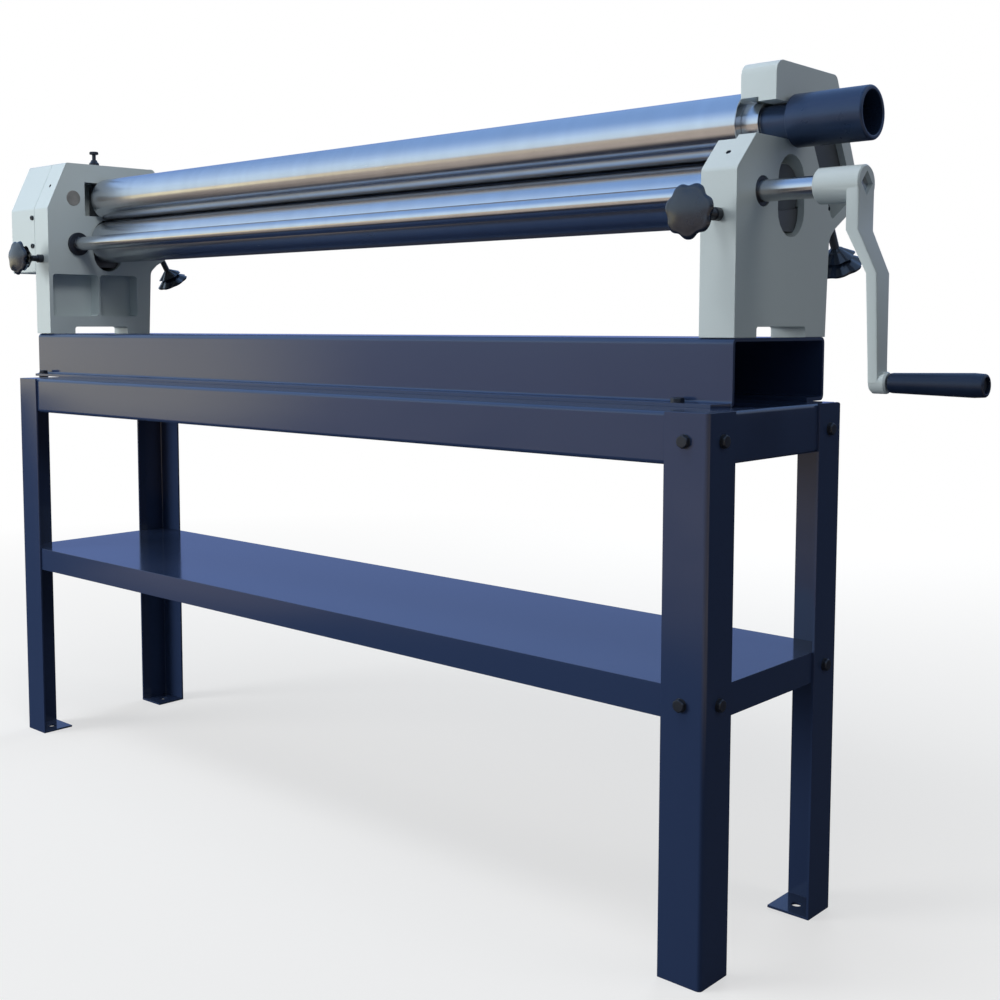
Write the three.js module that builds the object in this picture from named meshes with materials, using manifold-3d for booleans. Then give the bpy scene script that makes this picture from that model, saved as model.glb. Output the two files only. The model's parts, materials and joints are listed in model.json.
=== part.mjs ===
import * as THREE from 'three';
import { mergeVertices } from 'three/addons/utils/BufferGeometryUtils.js';
import Module from 'manifold-3d';

const wasm = await Module();
wasm.setup();

// Slip roll machine on its stand. Millimetres, X along the rolls (crank end at +X), Y to the back, Z up.
// Everything is laid out from the middle of the stand on the floor and moved to the box centre at the end.

// Fits
const RUN = 0.3;         // radial gap of a turning or sliding piece
const SEAT = 0.15;       // radial gap of a piece that stays put in its bore
const BOLT_FIT = 0.6;    // radial gap of a bolt in its hole

// Stand
const STAND_LENGTH = 1365;
const STAND_DEPTH = 286;
const STAND_HEIGHT = 608;
const SHEET = 3;
const LEG_FLANGE_X = 54;
const LEG_FLANGE_Y = 53;
const FOOT_HOLE = 6;
const LEG_TOP_ROUND = 9;
const RAIL_FACE = 56;
const RAIL_TOP = 96;
const RAIL_LIP = 14;
const SIDE_RAIL_TOP = 30;
const SHELF_DROP = 288;
const SHELF_TOP = STAND_HEIGHT - SHELF_DROP;
const SHELF_LIP = 36;
const STAND_BOLT = 4;
const BOLT_HEAD = 7.5;
const BOLT_HEAD_HEIGHT = 5.5;
const NUT_HEIGHT = 6.5;
const BEND = 5;
const HALF_LENGTH = STAND_LENGTH / 2;
const HALF_DEPTH = STAND_DEPTH / 2;
const BOLT_IN_X = 29;
const BOLT_IN_Y = 28;
const RAIL_BOLT_DROP = 30;
const RAIL_BOLT_Z = STAND_HEIGHT - RAIL_BOLT_DROP;
const SHELF_BOLT_Z = SHELF_TOP - SHELF_LIP / 2;

// Base beam, an inverted channel of plate
const BASE_OVERHANG = 103.5;
const BASE_SHORT = 32.5;
const BASE_LEFT = -HALF_LENGTH - BASE_OVERHANG;
const BASE_RIGHT = HALF_LENGTH - BASE_SHORT;
const BASE_FRONT = -45;
const BASE_BACK = 160;
const BASE_HEIGHT = 75;
const BASE_TOP = STAND_HEIGHT + BASE_HEIGHT;
const BASE_PLATE = 4;
const BASE_FLANGE = 25;
const BASE_RETURN = 40;
const BASE_BOLT = 4.5;
const BASE_BOLT_HEAD = 8;
const BASE_BOLT_Y = BASE_FRONT - 12;
const BASE_BOLTS_X = [BASE_LEFT + 35, BASE_RIGHT - 62];
const BASE_HOLES_X = [BASE_LEFT + 96, BASE_RIGHT - 36];
const BASE_CORNERS = [-31, 12];

// Rolls
const ROLL_RADIUS = 37.5;
const ROLL_NIP = 1;
const ROLL_Y = 74;
const ROLL_RISE = 242;
const UPPER_Z = BASE_TOP + ROLL_RISE;
const LOWER_Z = UPPER_Z - 2 * ROLL_RADIUS - ROLL_NIP;
const ROLL_END_GAP = 3;
const JOURNAL = 16;

// Housings
const HOUSING_WIDTH = 45;
const RIGHT_FRONT = -43;
const LEFT_FRONT = -47;
const HEAD = 65;
const HOUSING_TOP = UPPER_Z + HEAD;
const RIGHT_IN = BASE_RIGHT - HOUSING_WIDTH;
const RIGHT_OUT = BASE_RIGHT;
const LEFT_IN = BASE_LEFT + HOUSING_WIDTH;
const LEFT_OUT = BASE_LEFT;
const RIGHT_MID = (RIGHT_IN + RIGHT_OUT) / 2;
const LEFT_MID = (LEFT_IN + LEFT_OUT) / 2;
const FOOT_ARCH = [3, 113];
const FOOT_ARCH_HEIGHT = 12;
const CAP_FRONT = 36;
const CAP_BACK = 102;
const POST_BACK = 87;
const EAR_REACH = [166.5, 137.5, 105.5];
const EAR_RISE = [12, -20, -38.5, -51];
const EAR_HOLE = [ROLL_Y + 90.5, LOWER_Z - 15];
const SLOT_OUT = 20.4;
const SLOT_IN = 25.2;
const BLOCK_HOLE = 29.75;
const BLOCK_HOLE_BOTTOM = LOWER_Z - 53;
const BLOCK_HOLE_TOP = LOWER_Z + 40;
const RIGHT_SHOULDER = UPPER_Z - 60;
const RIGHT_LEDGE_FRONT = -4.5;
const LEFT_SHOULDER = UPPER_Z - 20;
const LEFT_TOP_FRONT = -8;
const CORE_BOTTOM = BASE_TOP + 31;
const CORE_TOP = LOWER_Z - 60;
const CORES = [[-40, 52], [56, 135]];
const CORE_DEPTH = 25;
const CORE_ROUND = 6;

// Upper roll: pivot block at the left, collar, neck and handle at the right
const UPPER_LEFT = LEFT_IN + 7;
const UPPER_RIGHT = RIGHT_IN - 7;
const UPPER_JOURNAL = 13;
const NECK = SLOT_OUT - 0.4;
const COLLAR = SLOT_IN - 0.4;
const COLLAR_LENGTH = 21.5;
const HANDLE = 29.5;
const HANDLE_LEFT = RIGHT_OUT + 5;
const HANDLE_RIGHT = HANDLE_LEFT + 90.5;
const HANDLE_RECESS = 40;
const PIVOT = 19;
const PIVOT_POCKET_Y = 46;
const PIVOT_POCKET_Z = 30;
const SOCKET = 8;
const PIN = 6;
const PIN_TIP = 3;
const PIN_AHEAD = 11;
const SWING = 12;
const PIN_TOP = HOUSING_TOP + 24;

// Gear train
const MODULE = 4;
const ROLL_TEETH = 19;
const PINION_TEETH = 12;
const GEAR_LEFT = LEFT_OUT - 40;
const GEAR_RIGHT = LEFT_OUT - 12;
const TOOTH = 3.9;
const GEAR_SHAFT = 10;
const PINION_DISTANCE = MODULE * (ROLL_TEETH + PINION_TEETH) / 2;
const CRANK_DROP = 5.6;

// Crank
const CRANK_SHAFT = 12;
const CRANK_Z = LOWER_Z - CRANK_DROP;
const CRANK_Y = ROLL_Y - Math.sqrt(PINION_DISTANCE ** 2 - CRANK_DROP ** 2);
const BUSH = 17;
const LEFT_BUSH_FLANGE = 20.5;
const LEFT_BUSH_OUT = 5;
const CRANK_RADIUS = 206;
const HUB = 19.3;
const HUB_LEFT = RIGHT_OUT + 67;
const ARM_OUT = HUB_LEFT + 53.5;
const ARM_THICK = 14.5;
const ARM_LOW = ARM_OUT + 16.7;
const ARM_BENDS = [48.4, 93.4];
const ARM_HALF_WIDTHS = [18.3, 18, 15.6, 12.5, 12];
const BOSS = 11.6;
const SQUARE = 18;
const GRIP_LEFT = ARM_LOW + 14.8;
const GRIP_RIGHT = GRIP_LEFT + 99;
const GRIP = 12.4;
const SPINDLE = 5;

// Gear cover
const COVER_WALL = 4;
const COVER_STEP = 1;
const COVER_LEFT = LEFT_OUT - 80;
const COVER_BOTTOM = LOWER_Z - 57;
const COVER_BACK = 160;
const COVER_TOP = HOUSING_TOP - 3;
const COVER_SCREWS_Z = [LOWER_Z + 40.5, LOWER_Z - 9.5];
const COVER_SCREW_X = LEFT_OUT - 7;

// Adjusting gear of the lower roll: horizontal screws pull wedges under the bearing blocks
const KNOB = 30;
const KNOB_LOBES = 7;
const KNOB_DEPTH = 30;
const KNOB_RIM = 13;
const SCREW = 5;
const FRONT_SCREW_Z = LOWER_Z - 33;
const FRONT_KNOB_FACE = { right: -107, left: -101 };
const WEDGE_SLOPE = 1 / 8;
const WEDGE_TOP = LOWER_Z - 22;
const WEDGE_BOTTOM = LOWER_Z - 45.7;
const WEDGE_WIDTH = 28;
const WEDGE_HALF = 30;
const WEDGE_ROOM = [31, 117];
const BLOCK_WIDTH = 29;
const BLOCK_WALL = 5;

// Adjusting gear of the rear roll: slanted screws carry the blocks
const SLANT = THREE.MathUtils.degToRad(60);
const REAR_ORIGIN = [ROLL_Y + 133, LOWER_Z - 27];
const REAR_REST = 82;
const REAR_SLOT = [17, 121];
const REAR_SLOT_HALF = 31.5;
const REAR_BLOCK_HALF = 25;
const REAR_KNOB_FACE = { right: -68, left: -54 };

// Materials
const steelPaint = (color, roughness) => new THREE.MeshStandardMaterial({ color, roughness, metalness: 0.1 });
const NAVY = steelPaint(0x2b3a5e, 0.3);
const CASTING = steelPaint(0xaeb9b6, 0.55);
const POLISHED = new THREE.MeshStandardMaterial({ color: 0xc4c8cc, roughness: 0.2, metalness: 1 });
const GROUND = new THREE.MeshStandardMaterial({ color: 0x9a9c9d, roughness: 0.4, metalness: 1 });
const BLACKENED = new THREE.MeshStandardMaterial({ color: 0x23262c, roughness: 0.4, metalness: 0.8 });
const CAST_IRON = new THREE.MeshStandardMaterial({ color: 0x4a4a48, roughness: 0.7, metalness: 0.6 });
const PLASTIC = new THREE.MeshStandardMaterial({ color: 0x17181a, roughness: 0.45, metalness: 0 });

// Closed solid from any three.js geometry: weld, drop slivers, turn the faces out
function solid(geometry) {
  const bare = new THREE.BufferGeometry();
  bare.setAttribute('position', geometry.getAttribute('position'));
  if (geometry.index) bare.setIndex(geometry.index);
  const welded = mergeVertices(bare, 1e-4);
  const p = welded.getAttribute('position');
  const index = welded.index.array;
  const tris = [];
  let volume = 0;
  const a = new THREE.Vector3(), b = new THREE.Vector3(), c = new THREE.Vector3();
  for (let i = 0; i < index.length; i += 3) {
    const [u, v, w] = [index[i], index[i + 1], index[i + 2]];
    if (u === v || v === w || w === u) continue;
    tris.push(u, v, w);
    a.fromBufferAttribute(p, u);
    b.fromBufferAttribute(p, v);
    c.fromBufferAttribute(p, w);
    volume += a.dot(b.cross(c));
  }
  if (volume < 0) for (let i = 0; i < tris.length; i += 3) [tris[i], tris[i + 1]] = [tris[i + 1], tris[i]];
  return new wasm.Manifold(new wasm.Mesh({
    numProp: 3, vertProperties: Float32Array.from(p.array), triVerts: Uint32Array.from(tris),
  }));
}

function geometryOf(manifold) {
  const mesh = manifold.getMesh();
  const geometry = new THREE.BufferGeometry();
  geometry.setAttribute('position', new THREE.BufferAttribute(Float32Array.from(mesh.vertProperties), 3));
  geometry.setIndex(Array.from(mesh.triVerts));
  const flat = geometry.toNonIndexed();
  flat.computeVertexNormals();
  return flat;
}

const union = (first, ...rest) => rest.reduce((sum, piece) => sum.add(piece), first);
const cut = (first, ...rest) => rest.reduce((sum, piece) => sum.subtract(piece), first);

function box(x0, x1, y0, y1, z0, z1) {
  const geometry = new THREE.BoxGeometry(x1 - x0, y1 - y0, z1 - z0);
  geometry.translate((x0 + x1) / 2, (y0 + y1) / 2, (z0 + z1) / 2);
  return solid(geometry);
}

// Prism of a closed outline: along X from (y, z), along Y from (x, z), along Z from (x, y)
function prism(axis, outline, from, to) {
  const shape = new THREE.Shape(outline.map(([u, v]) => new THREE.Vector2(u, v)));
  const geometry = new THREE.ExtrudeGeometry(shape, { depth: to - from, bevelEnabled: false, steps: 1 });
  const m = new THREE.Matrix4();
  const [ex, ey, ez] = [[1, 0, 0], [0, 1, 0], [0, 0, 1]].map((v) => new THREE.Vector3(...v));
  if (axis === 'x') m.makeBasis(ey, ez, ex).setPosition(from, 0, 0);
  if (axis === 'y') m.makeBasis(ex, ez, ey.negate()).setPosition(0, to, 0);
  if (axis === 'z') m.setPosition(0, 0, from);
  geometry.applyMatrix4(m);
  return solid(geometry);
}

// Outline with its corners rounded: points are [u, v, radius]
function rounded(points, steps = 3) {
  const out = [];
  points.forEach(([u, v, radius = 0], i) => {
    if (!radius) return out.push([u, v]);
    const at = new THREE.Vector2(u, v);
    const before = new THREE.Vector2(...points.at(i - 1).slice(0, 2)).sub(at).normalize();
    const after = new THREE.Vector2(...points[(i + 1) % points.length].slice(0, 2)).sub(at).normalize();
    const half = Math.acos(THREE.MathUtils.clamp(before.dot(after), -1, 1)) / 2;
    const run = radius / Math.tan(half);
    const start = at.clone().addScaledVector(before, run);
    const end = at.clone().addScaledVector(after, run);
    const centre = at.clone().addScaledVector(before.clone().add(after).normalize(), radius / Math.sin(half));
    const from = start.clone().sub(centre).angle();
    let sweep = end.clone().sub(centre).angle() - from;
    if (sweep > Math.PI) sweep -= 2 * Math.PI;
    if (sweep < -Math.PI) sweep += 2 * Math.PI;
    for (let k = 0; k <= steps; k += 1) {
      const t = from + sweep * k / steps;
      out.push([centre.x + radius * Math.cos(t), centre.y + radius * Math.sin(t)]);
    }
  });
  return out;
}

// Outline of a folded sheet: the path is one skin, the sheet lies on its left side
function folded(path, thickness, bend = BEND, steps = 4) {
  const skin = [], back = [];
  path.forEach(([u, v], i) => {
    const at = new THREE.Vector2(u, v);
    const into = i ? at.clone().sub(new THREE.Vector2(...path[i - 1])).normalize() : null;
    const out = i < path.length - 1 ? new THREE.Vector2(...path[i + 1]).sub(at).normalize() : null;
    const left = (d) => new THREE.Vector2(-d.y, d.x);
    if (!into || !out) {
      const n = left(into ?? out);
      skin.push(at.toArray());
      back.push(at.clone().addScaledVector(n, thickness).toArray());
      return;
    }
    const side = Math.sign(into.cross(out));
    const inner = side > 0 ? bend : bend - thickness;
    const turn = into.angleTo(out);
    const start = at.clone().addScaledVector(into, -inner * Math.tan(turn / 2));
    const centre = start.clone().addScaledVector(left(into), side * inner);
    for (let k = 0; k <= steps; k += 1) {
      const n = left(into).rotateAround(new THREE.Vector2(), side * turn * k / steps).multiplyScalar(-side);
      skin.push(centre.clone().addScaledVector(n, inner).toArray());
      back.push(centre.clone().addScaledVector(n, inner - side * thickness).toArray());
    }
  });
  return [...skin, ...back.reverse()];
}

// Turned solid: profile [radius, station] along a direction from an origin
function turned(profile, origin, direction, segments = 24) {
  const geometry = new THREE.LatheGeometry(profile.map(([r, t]) => new THREE.Vector2(r, t)), segments);
  const dir = new THREE.Vector3(...direction).normalize();
  geometry.applyQuaternion(new THREE.Quaternion().setFromUnitVectors(new THREE.Vector3(0, 1, 0), dir));
  geometry.translate(...origin);
  return solid(geometry);
}

const ALONG = { x: [1, 0, 0], y: [0, 1, 0], z: [0, 0, 1] };

// Plain cylinder along an axis between two stations; the origin gives the other two coordinates
const rod = (axis, radius, from, to, origin, segments = 24) =>
  turned([[0, from], [radius, from], [radius, to], [0, to]], origin, ALONG[axis], segments);

// Ring along X with a bore
const ring = (radius, bore, from, to, origin, segments = 24) =>
  turned([[bore, from], [radius, from], [radius, to], [bore, to], [bore, from]], origin, ALONG.x, segments);

const mirrored = (manifold, x, y) => manifold.scale([x, y, 1]);

// Straight skin through matching rings of points, closed at both ends
function loft(rings) {
  const n = rings[0].length;
  const positions = rings.flat(2);
  const index = [];
  for (let r = 0; r < rings.length - 1; r += 1) {
    for (let i = 0; i < n; i += 1) {
      const [a, b] = [r * n + i, r * n + (i + 1) % n];
      index.push(a, b, b + n, a, b + n, a + n);
    }
  }
  const last = (rings.length - 1) * n;
  for (let i = 1; i < n - 1; i += 1) index.push(0, i + 1, i, last, last + i, last + i + 1);
  const geometry = new THREE.BufferGeometry();
  geometry.setAttribute('position', new THREE.Float32BufferAttribute(positions, 3));
  geometry.setIndex(index);
  return solid(geometry);
}

const group = new THREE.Group();
group.name = 'slip_roll_machine';

function add(name, material, ...pieces) {
  const geometry = geometryOf(pieces.length > 1 ? union(...pieces) : pieces[0]);
  const mesh = new THREE.Mesh(geometry, material);
  mesh.name = name;
  group.add(mesh);
}

// Stand legs: folded angle with a foot plate, bored for the stand bolts and one floor anchor
function leg(faceBolts, roundedTop) {
  const section = folded([
    [HALF_LENGTH - LEG_FLANGE_X, -HALF_DEPTH], [HALF_LENGTH, -HALF_DEPTH], [HALF_LENGTH, -HALF_DEPTH + LEG_FLANGE_Y],
  ], SHEET);
  const foot = box(HALF_LENGTH - LEG_FLANGE_X, HALF_LENGTH - 2, -HALF_DEPTH + 2, -HALF_DEPTH + LEG_FLANGE_Y, 0, SHEET);
  const anchor = rod('z', FOOT_HOLE, -1, SHEET + 1, [HALF_LENGTH - BOLT_IN_X, -HALF_DEPTH + BOLT_IN_Y, 0], 14);
  const bores = [RAIL_BOLT_Z, SHELF_BOLT_Z].flatMap((z) => [
    rod('x', STAND_BOLT + BOLT_FIT, HALF_LENGTH - SHEET - 1, HALF_LENGTH + 1, [0, -HALF_DEPTH + BOLT_IN_Y, z], 8),
    ...(faceBolts ? [rod('y', STAND_BOLT + BOLT_FIT, -HALF_DEPTH - 1, -HALF_DEPTH + SHEET + 1,
      [HALF_LENGTH - BOLT_IN_X, 0, z], 8)] : []),
  ]);
  const side = roundedTop ? rounded([
    [-HALF_DEPTH, -1], [-HALF_DEPTH + LEG_FLANGE_Y, -1], [-HALF_DEPTH + LEG_FLANGE_Y, STAND_HEIGHT],
    [-HALF_DEPTH, STAND_HEIGHT, LEG_TOP_ROUND],
  ], 4) : null;
  const angle = union(prism('z', section, 0, STAND_HEIGHT), foot);
  const topped = side ? angle.intersect(prism('x', side, HALF_LENGTH - LEG_FLANGE_X - 1, HALF_LENGTH + 1)) : angle;
  return cut(topped, anchor, ...bores);
}

const rearLeg = leg(false, true);
add('leg_front_right', NAVY, leg(true, false));
add('leg_front_left', NAVY, mirrored(leg(false, false), -1, 1));
add('leg_rear_right', NAVY, mirrored(rearLeg, 1, -1));
add('leg_rear_left', NAVY, mirrored(rearLeg, -1, -1));

// Stand rails: long channels with wide tops that carry the base, short channels between them
const RAIL_END = HALF_LENGTH - SHEET;
const RAIL_SKIN = HALF_DEPTH - SHEET;

function longRail(sign) {
  const z0 = STAND_HEIGHT - RAIL_FACE;
  const section = folded([
    [-RAIL_SKIN + RAIL_TOP, STAND_HEIGHT], [-RAIL_SKIN, STAND_HEIGHT], [-RAIL_SKIN, z0], [-RAIL_SKIN + RAIL_LIP, z0],
  ], SHEET);
  const topEnd = RAIL_END - SHEET;
  const trim = [1, -1].map((s) => {
    const [a, b] = [s * topEnd, s * (RAIL_END + 1)];
    return box(Math.min(a, b), Math.max(a, b), -RAIL_SKIN + SHEET, -RAIL_SKIN + RAIL_TOP + 1, z0 - 1, STAND_HEIGHT + 1);
  });
  const bores = sign > 0 ? [] : [
    rod('y', STAND_BOLT + BOLT_FIT, -RAIL_SKIN - 1, -RAIL_SKIN + SHEET + 1, [HALF_LENGTH - BOLT_IN_X, 0, RAIL_BOLT_Z], 8),
    rod('z', BASE_BOLT + BOLT_FIT, STAND_HEIGHT - SHEET - 1, STAND_HEIGHT + 1, [BASE_BOLTS_X[1], BASE_BOLT_Y, 0], 8),
  ];
  const railEnd = RAIL_END - BEND + SHEET;
  const rail = cut(prism('x', section, -railEnd, railEnd), ...trim, ...bores);
  return sign < 0 ? rail : mirrored(rail, 1, -1);
}

function sideRail(sign) {
  const z0 = STAND_HEIGHT - RAIL_FACE;
  const half = RAIL_SKIN - SHEET;
  const section = folded([
    [RAIL_END - SIDE_RAIL_TOP, STAND_HEIGHT], [RAIL_END, STAND_HEIGHT], [RAIL_END, z0], [RAIL_END - RAIL_LIP, z0],
  ].reverse(), SHEET);
  const topEnd = RAIL_SKIN - RAIL_TOP;
  const trim = [1, -1].flatMap((s) => {
    const span = (a, b) => [Math.min(s * a, s * b), Math.max(s * a, s * b)];
    return [
      box(RAIL_END - SIDE_RAIL_TOP - 1, RAIL_END - SHEET, ...span(topEnd, half + 1), STAND_HEIGHT - SHEET - 3, STAND_HEIGHT + 1),
      box(RAIL_END - SIDE_RAIL_TOP - 1, RAIL_END - SHEET, ...span(RAIL_SKIN - RAIL_LIP, half + 1), z0 - 1, z0 + SHEET + 3),
    ];
  });
  const bores = [1, -1].map((s) =>
    rod('x', STAND_BOLT + BOLT_FIT, RAIL_END - SHEET - 1, RAIL_END + 1, [0, s * (HALF_DEPTH - BOLT_IN_Y), RAIL_BOLT_Z], 8));
  const rail = cut(prism('y', section, -half, half), ...trim, ...bores);
  return sign > 0 ? rail : mirrored(rail, -1, 1);
}

add('rail_front', NAVY, longRail(-1));
add('rail_rear', NAVY, longRail(1));
add('rail_right', NAVY, sideRail(1));
add('rail_left', NAVY, sideRail(-1));

// Shelf: tray of sheet with its four edges folded down
const shelfOuter = prism('z', rounded([
  [-RAIL_END, -RAIL_SKIN, 3], [RAIL_END, -RAIL_SKIN, 3], [RAIL_END, RAIL_SKIN, 3], [-RAIL_END, RAIL_SKIN, 3],
], 2), SHELF_TOP - SHELF_LIP, SHELF_TOP);
const shelfBores = [1, -1].flatMap((sx) => [1, -1].map((sy) => rod('x', STAND_BOLT + BOLT_FIT,
  sx * RAIL_END - 4, sx * RAIL_END + 4, [0, sy * (HALF_DEPTH - BOLT_IN_Y), SHELF_BOLT_Z], 8)));
const shelfFaceBore = rod('y', STAND_BOLT + BOLT_FIT, -RAIL_SKIN - 4, -RAIL_SKIN + 4,
  [HALF_LENGTH - BOLT_IN_X, 0, SHELF_BOLT_Z], 8);
add('shelf', NAVY, cut(shelfOuter,
  box(-RAIL_END + SHEET, RAIL_END - SHEET, -RAIL_SKIN + SHEET, RAIL_SKIN - SHEET, SHELF_TOP - SHELF_LIP - 1, SHELF_TOP - SHEET),
  ...shelfBores, shelfFaceBore));

// Hexagon bolt with its nut: head outside at station 0, nut behind the clamped stack
function nutAndBolt(origin, direction, radius, across, stack, nutHeight) {
  return turned([[0, -BOLT_HEAD_HEIGHT], [across - 1, -BOLT_HEAD_HEIGHT], [across, 1 - BOLT_HEAD_HEIGHT], [across, 0],
    [radius, 0], [radius, stack], [across, stack], [across, stack + nutHeight], [radius, stack + nutHeight],
    [radius, stack + nutHeight + 2], [0, stack + nutHeight + 2]], origin, direction, 6);
}

const boltHeights = { rail: RAIL_BOLT_Z, shelf: SHELF_BOLT_Z };
for (const [height, z] of Object.entries(boltHeights)) {
  for (const [side, sx] of [['right', 1], ['left', -1]]) {
    for (const [end, sy] of [['front', -1], ['rear', 1]]) {
      add(`bolt_${height}_${end}_${side}`, BLACKENED, nutAndBolt(
        [sx * HALF_LENGTH, sy * (HALF_DEPTH - BOLT_IN_Y), z], [-sx, 0, 0], STAND_BOLT, BOLT_HEAD, 2 * SHEET, NUT_HEIGHT));
    }
  }
  add(`bolt_${height}_face_right`, BLACKENED, nutAndBolt(
    [HALF_LENGTH - BOLT_IN_X, -HALF_DEPTH, z], [0, 1, 0], STAND_BOLT, BOLT_HEAD, 2 * SHEET, NUT_HEIGHT));
}

// Base beam: front edge folded out as a flange, back edge folded in, bored for its bolts and the housings
const baseSection = folded([
  [BASE_BACK - BASE_RETURN, STAND_HEIGHT], [BASE_BACK, STAND_HEIGHT], [BASE_BACK, BASE_TOP], [BASE_FRONT, BASE_TOP],
  [BASE_FRONT, STAND_HEIGHT + BASE_PLATE], [BASE_FRONT - BASE_FLANGE, STAND_HEIGHT + BASE_PLATE],
], BASE_PLATE, 7);
const flangeCorner = (x, run) => prism('z', [
  [x - 2 * Math.sign(run), BASE_FRONT - 1], [x - run, BASE_FRONT - BASE_FLANGE - 1],
  [x + 2 * Math.sign(run), BASE_FRONT - BASE_FLANGE - 1], [x + 2 * Math.sign(run), BASE_FRONT - 1],
], STAND_HEIGHT - 1, STAND_HEIGHT + BASE_PLATE + 1);
add('base_beam', NAVY, cut(prism('x', baseSection, BASE_LEFT, BASE_RIGHT),
  flangeCorner(BASE_LEFT, BASE_CORNERS[0]), flangeCorner(BASE_RIGHT, BASE_CORNERS[1]),
  ...BASE_BOLTS_X.map((x) => rod('z', BASE_BOLT + BOLT_FIT, STAND_HEIGHT - 1, STAND_HEIGHT + 9, [x, BASE_BOLT_Y, 0], 8)),
  ...BASE_HOLES_X.map((x) => rod('z', BASE_BOLT, STAND_HEIGHT - 1, STAND_HEIGHT + 9, [x, BASE_BOLT_Y, 0], 8))));

BASE_BOLTS_X.forEach((x, i) => {
  const stack = Math.abs(x) < RAIL_END ? BASE_PLATE + SHEET : BASE_PLATE;
  add(`base_bolt_${['left', 'right'][i]}`, BLACKENED,
    nutAndBolt([x, BASE_BOLT_Y, STAND_HEIGHT + BASE_PLATE], [0, 0, -1], BASE_BOLT, BASE_BOLT_HEAD, stack, NUT_HEIGHT));
});

// Slanted line of the rear screws in the (y, z) plane
const ALONG_SLANT = [-Math.cos(SLANT), Math.sin(SLANT)];
const ACROSS_SLANT = [Math.sin(SLANT), Math.cos(SLANT)];
const slanted = (t, across = 0) => [
  REAR_ORIGIN[0] + t * ALONG_SLANT[0] + across * ACROSS_SLANT[0],
  REAR_ORIGIN[1] + t * ALONG_SLANT[1] + across * ACROSS_SLANT[1],
];
const slantRect = (t0, t1, half, radius) => rounded([
  [...slanted(t0, -half), radius], [...slanted(t0, half), radius], [...slanted(t1, half), radius], [...slanted(t1, -half), radius],
]);

// Back edge shared by both housings, from the top corner round the ear to the foot
const BACK_EDGE = [
  [ROLL_Y + CAP_BACK, HOUSING_TOP, 9], [ROLL_Y + EAR_REACH[0], LOWER_Z + EAR_RISE[0], 5],
  [ROLL_Y + EAR_REACH[1], LOWER_Z + EAR_RISE[1], 6], [ROLL_Y + EAR_REACH[2], LOWER_Z + EAR_RISE[2], 4],
  [ROLL_Y + POST_BACK + 5, LOWER_Z + EAR_RISE[3], 16], [ROLL_Y + POST_BACK, BASE_TOP],
];

// Oblong hole of the lower bearing blocks
function oblong(radius, bottom, top) {
  const points = [];
  for (const [turn, z] of [[0, top - radius], [Math.PI, bottom + radius]]) {
    for (let k = 0; k <= 10; k += 1) {
      const a = turn + Math.PI * k / 10;
      points.push([ROLL_Y + radius * Math.cos(a), z + radius * Math.sin(a)]);
    }
  }
  return points;
}

// Cuts both housings share: block hole, wedge room, screw bores, rear slot, shaft bore, foot arch
function housingCuts(mid, front) {
  const [x0, x1] = [mid - HOUSING_WIDTH / 2 - 1, mid + HOUSING_WIDTH / 2 + 1];
  const room = WEDGE_WIDTH / 2 + RUN;
  return [
    prism('x', oblong(BLOCK_HOLE, BLOCK_HOLE_BOTTOM, BLOCK_HOLE_TOP), x0, x1),
    box(mid - room, mid + room, ...WEDGE_ROOM, WEDGE_BOTTOM - RUN, WEDGE_TOP + 6),
    rod('y', SCREW + RUN, front - 1, WEDGE_ROOM[0] + 1, [mid, 0, FRONT_SCREW_Z], 12),
    prism('x', slantRect(...REAR_SLOT, REAR_SLOT_HALF, 5), x0, x1),
    turned([[0, -10], [SCREW + 0.5 + RUN, -10], [SCREW + 0.5 + RUN, 30], [0, 30]],
      [mid, ...slanted(0)], [0, ...ALONG_SLANT], 12),
    rod('x', BUSH + SEAT, x0, x1, [0, CRANK_Y, CRANK_Z], 20),
    prism('x', rounded([[FOOT_ARCH[0], BASE_TOP - 1], [FOOT_ARCH[1], BASE_TOP - 1],
      [FOOT_ARCH[1], BASE_TOP + FOOT_ARCH_HEIGHT, 4], [FOOT_ARCH[0], BASE_TOP + FOOT_ARCH_HEIGHT, 4]]), x0, x1),
  ];
}

// Right housing: open fork in front for the roll neck, with a wider step for the collar on the inside
const rightOutline = rounded([
  [RIGHT_FRONT, BASE_TOP], [RIGHT_FRONT, RIGHT_SHOULDER, 8], [RIGHT_LEDGE_FRONT, UPPER_Z - SLOT_OUT], [CAP_FRONT, UPPER_Z - SLOT_OUT],
  [CAP_FRONT, HOUSING_TOP, 14], ...BACK_EDGE,
]);
function fork(radius, x0, x1) {
  const arc = Array.from({ length: 13 }, (_, k) => {
    const a = -Math.PI / 2 + Math.PI * k / 12;
    return [ROLL_Y + radius * Math.cos(a), UPPER_Z + radius * Math.sin(a)];
  });
  return prism('x', [[RIGHT_FRONT, UPPER_Z - radius], ...arc, [RIGHT_FRONT, UPPER_Z + radius]], x0, x1);
}
const chamferSpot = (a, b, s) => [a[0] + (b[0] - a[0]) * s, a[1] + (b[1] - a[1]) * s];
const RIGHT_OIL_SPOT = chamferSpot([RIGHT_FRONT, RIGHT_SHOULDER], [RIGHT_LEDGE_FRONT, UPPER_Z - SLOT_OUT], 0.48);
const RIGHT_OIL_WAY = [0, UPPER_Z - SLOT_OUT - RIGHT_SHOULDER, RIGHT_FRONT - RIGHT_LEDGE_FRONT];
const LEFT_OIL_SPOT = chamferSpot([LEFT_FRONT, LEFT_SHOULDER], [LEFT_TOP_FRONT, COVER_TOP], 0.5);
const LEFT_OIL_WAY = [0, COVER_TOP - LEFT_SHOULDER, LEFT_FRONT - LEFT_TOP_FRONT];
const OIL_HOLE = 3.2;
const oilHole = (x, [y, z], inward) =>
  turned([[0, -5], [OIL_HOLE, -5], [OIL_HOLE, 12], [0, 13]], [x, y, z], inward, 8);

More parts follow.
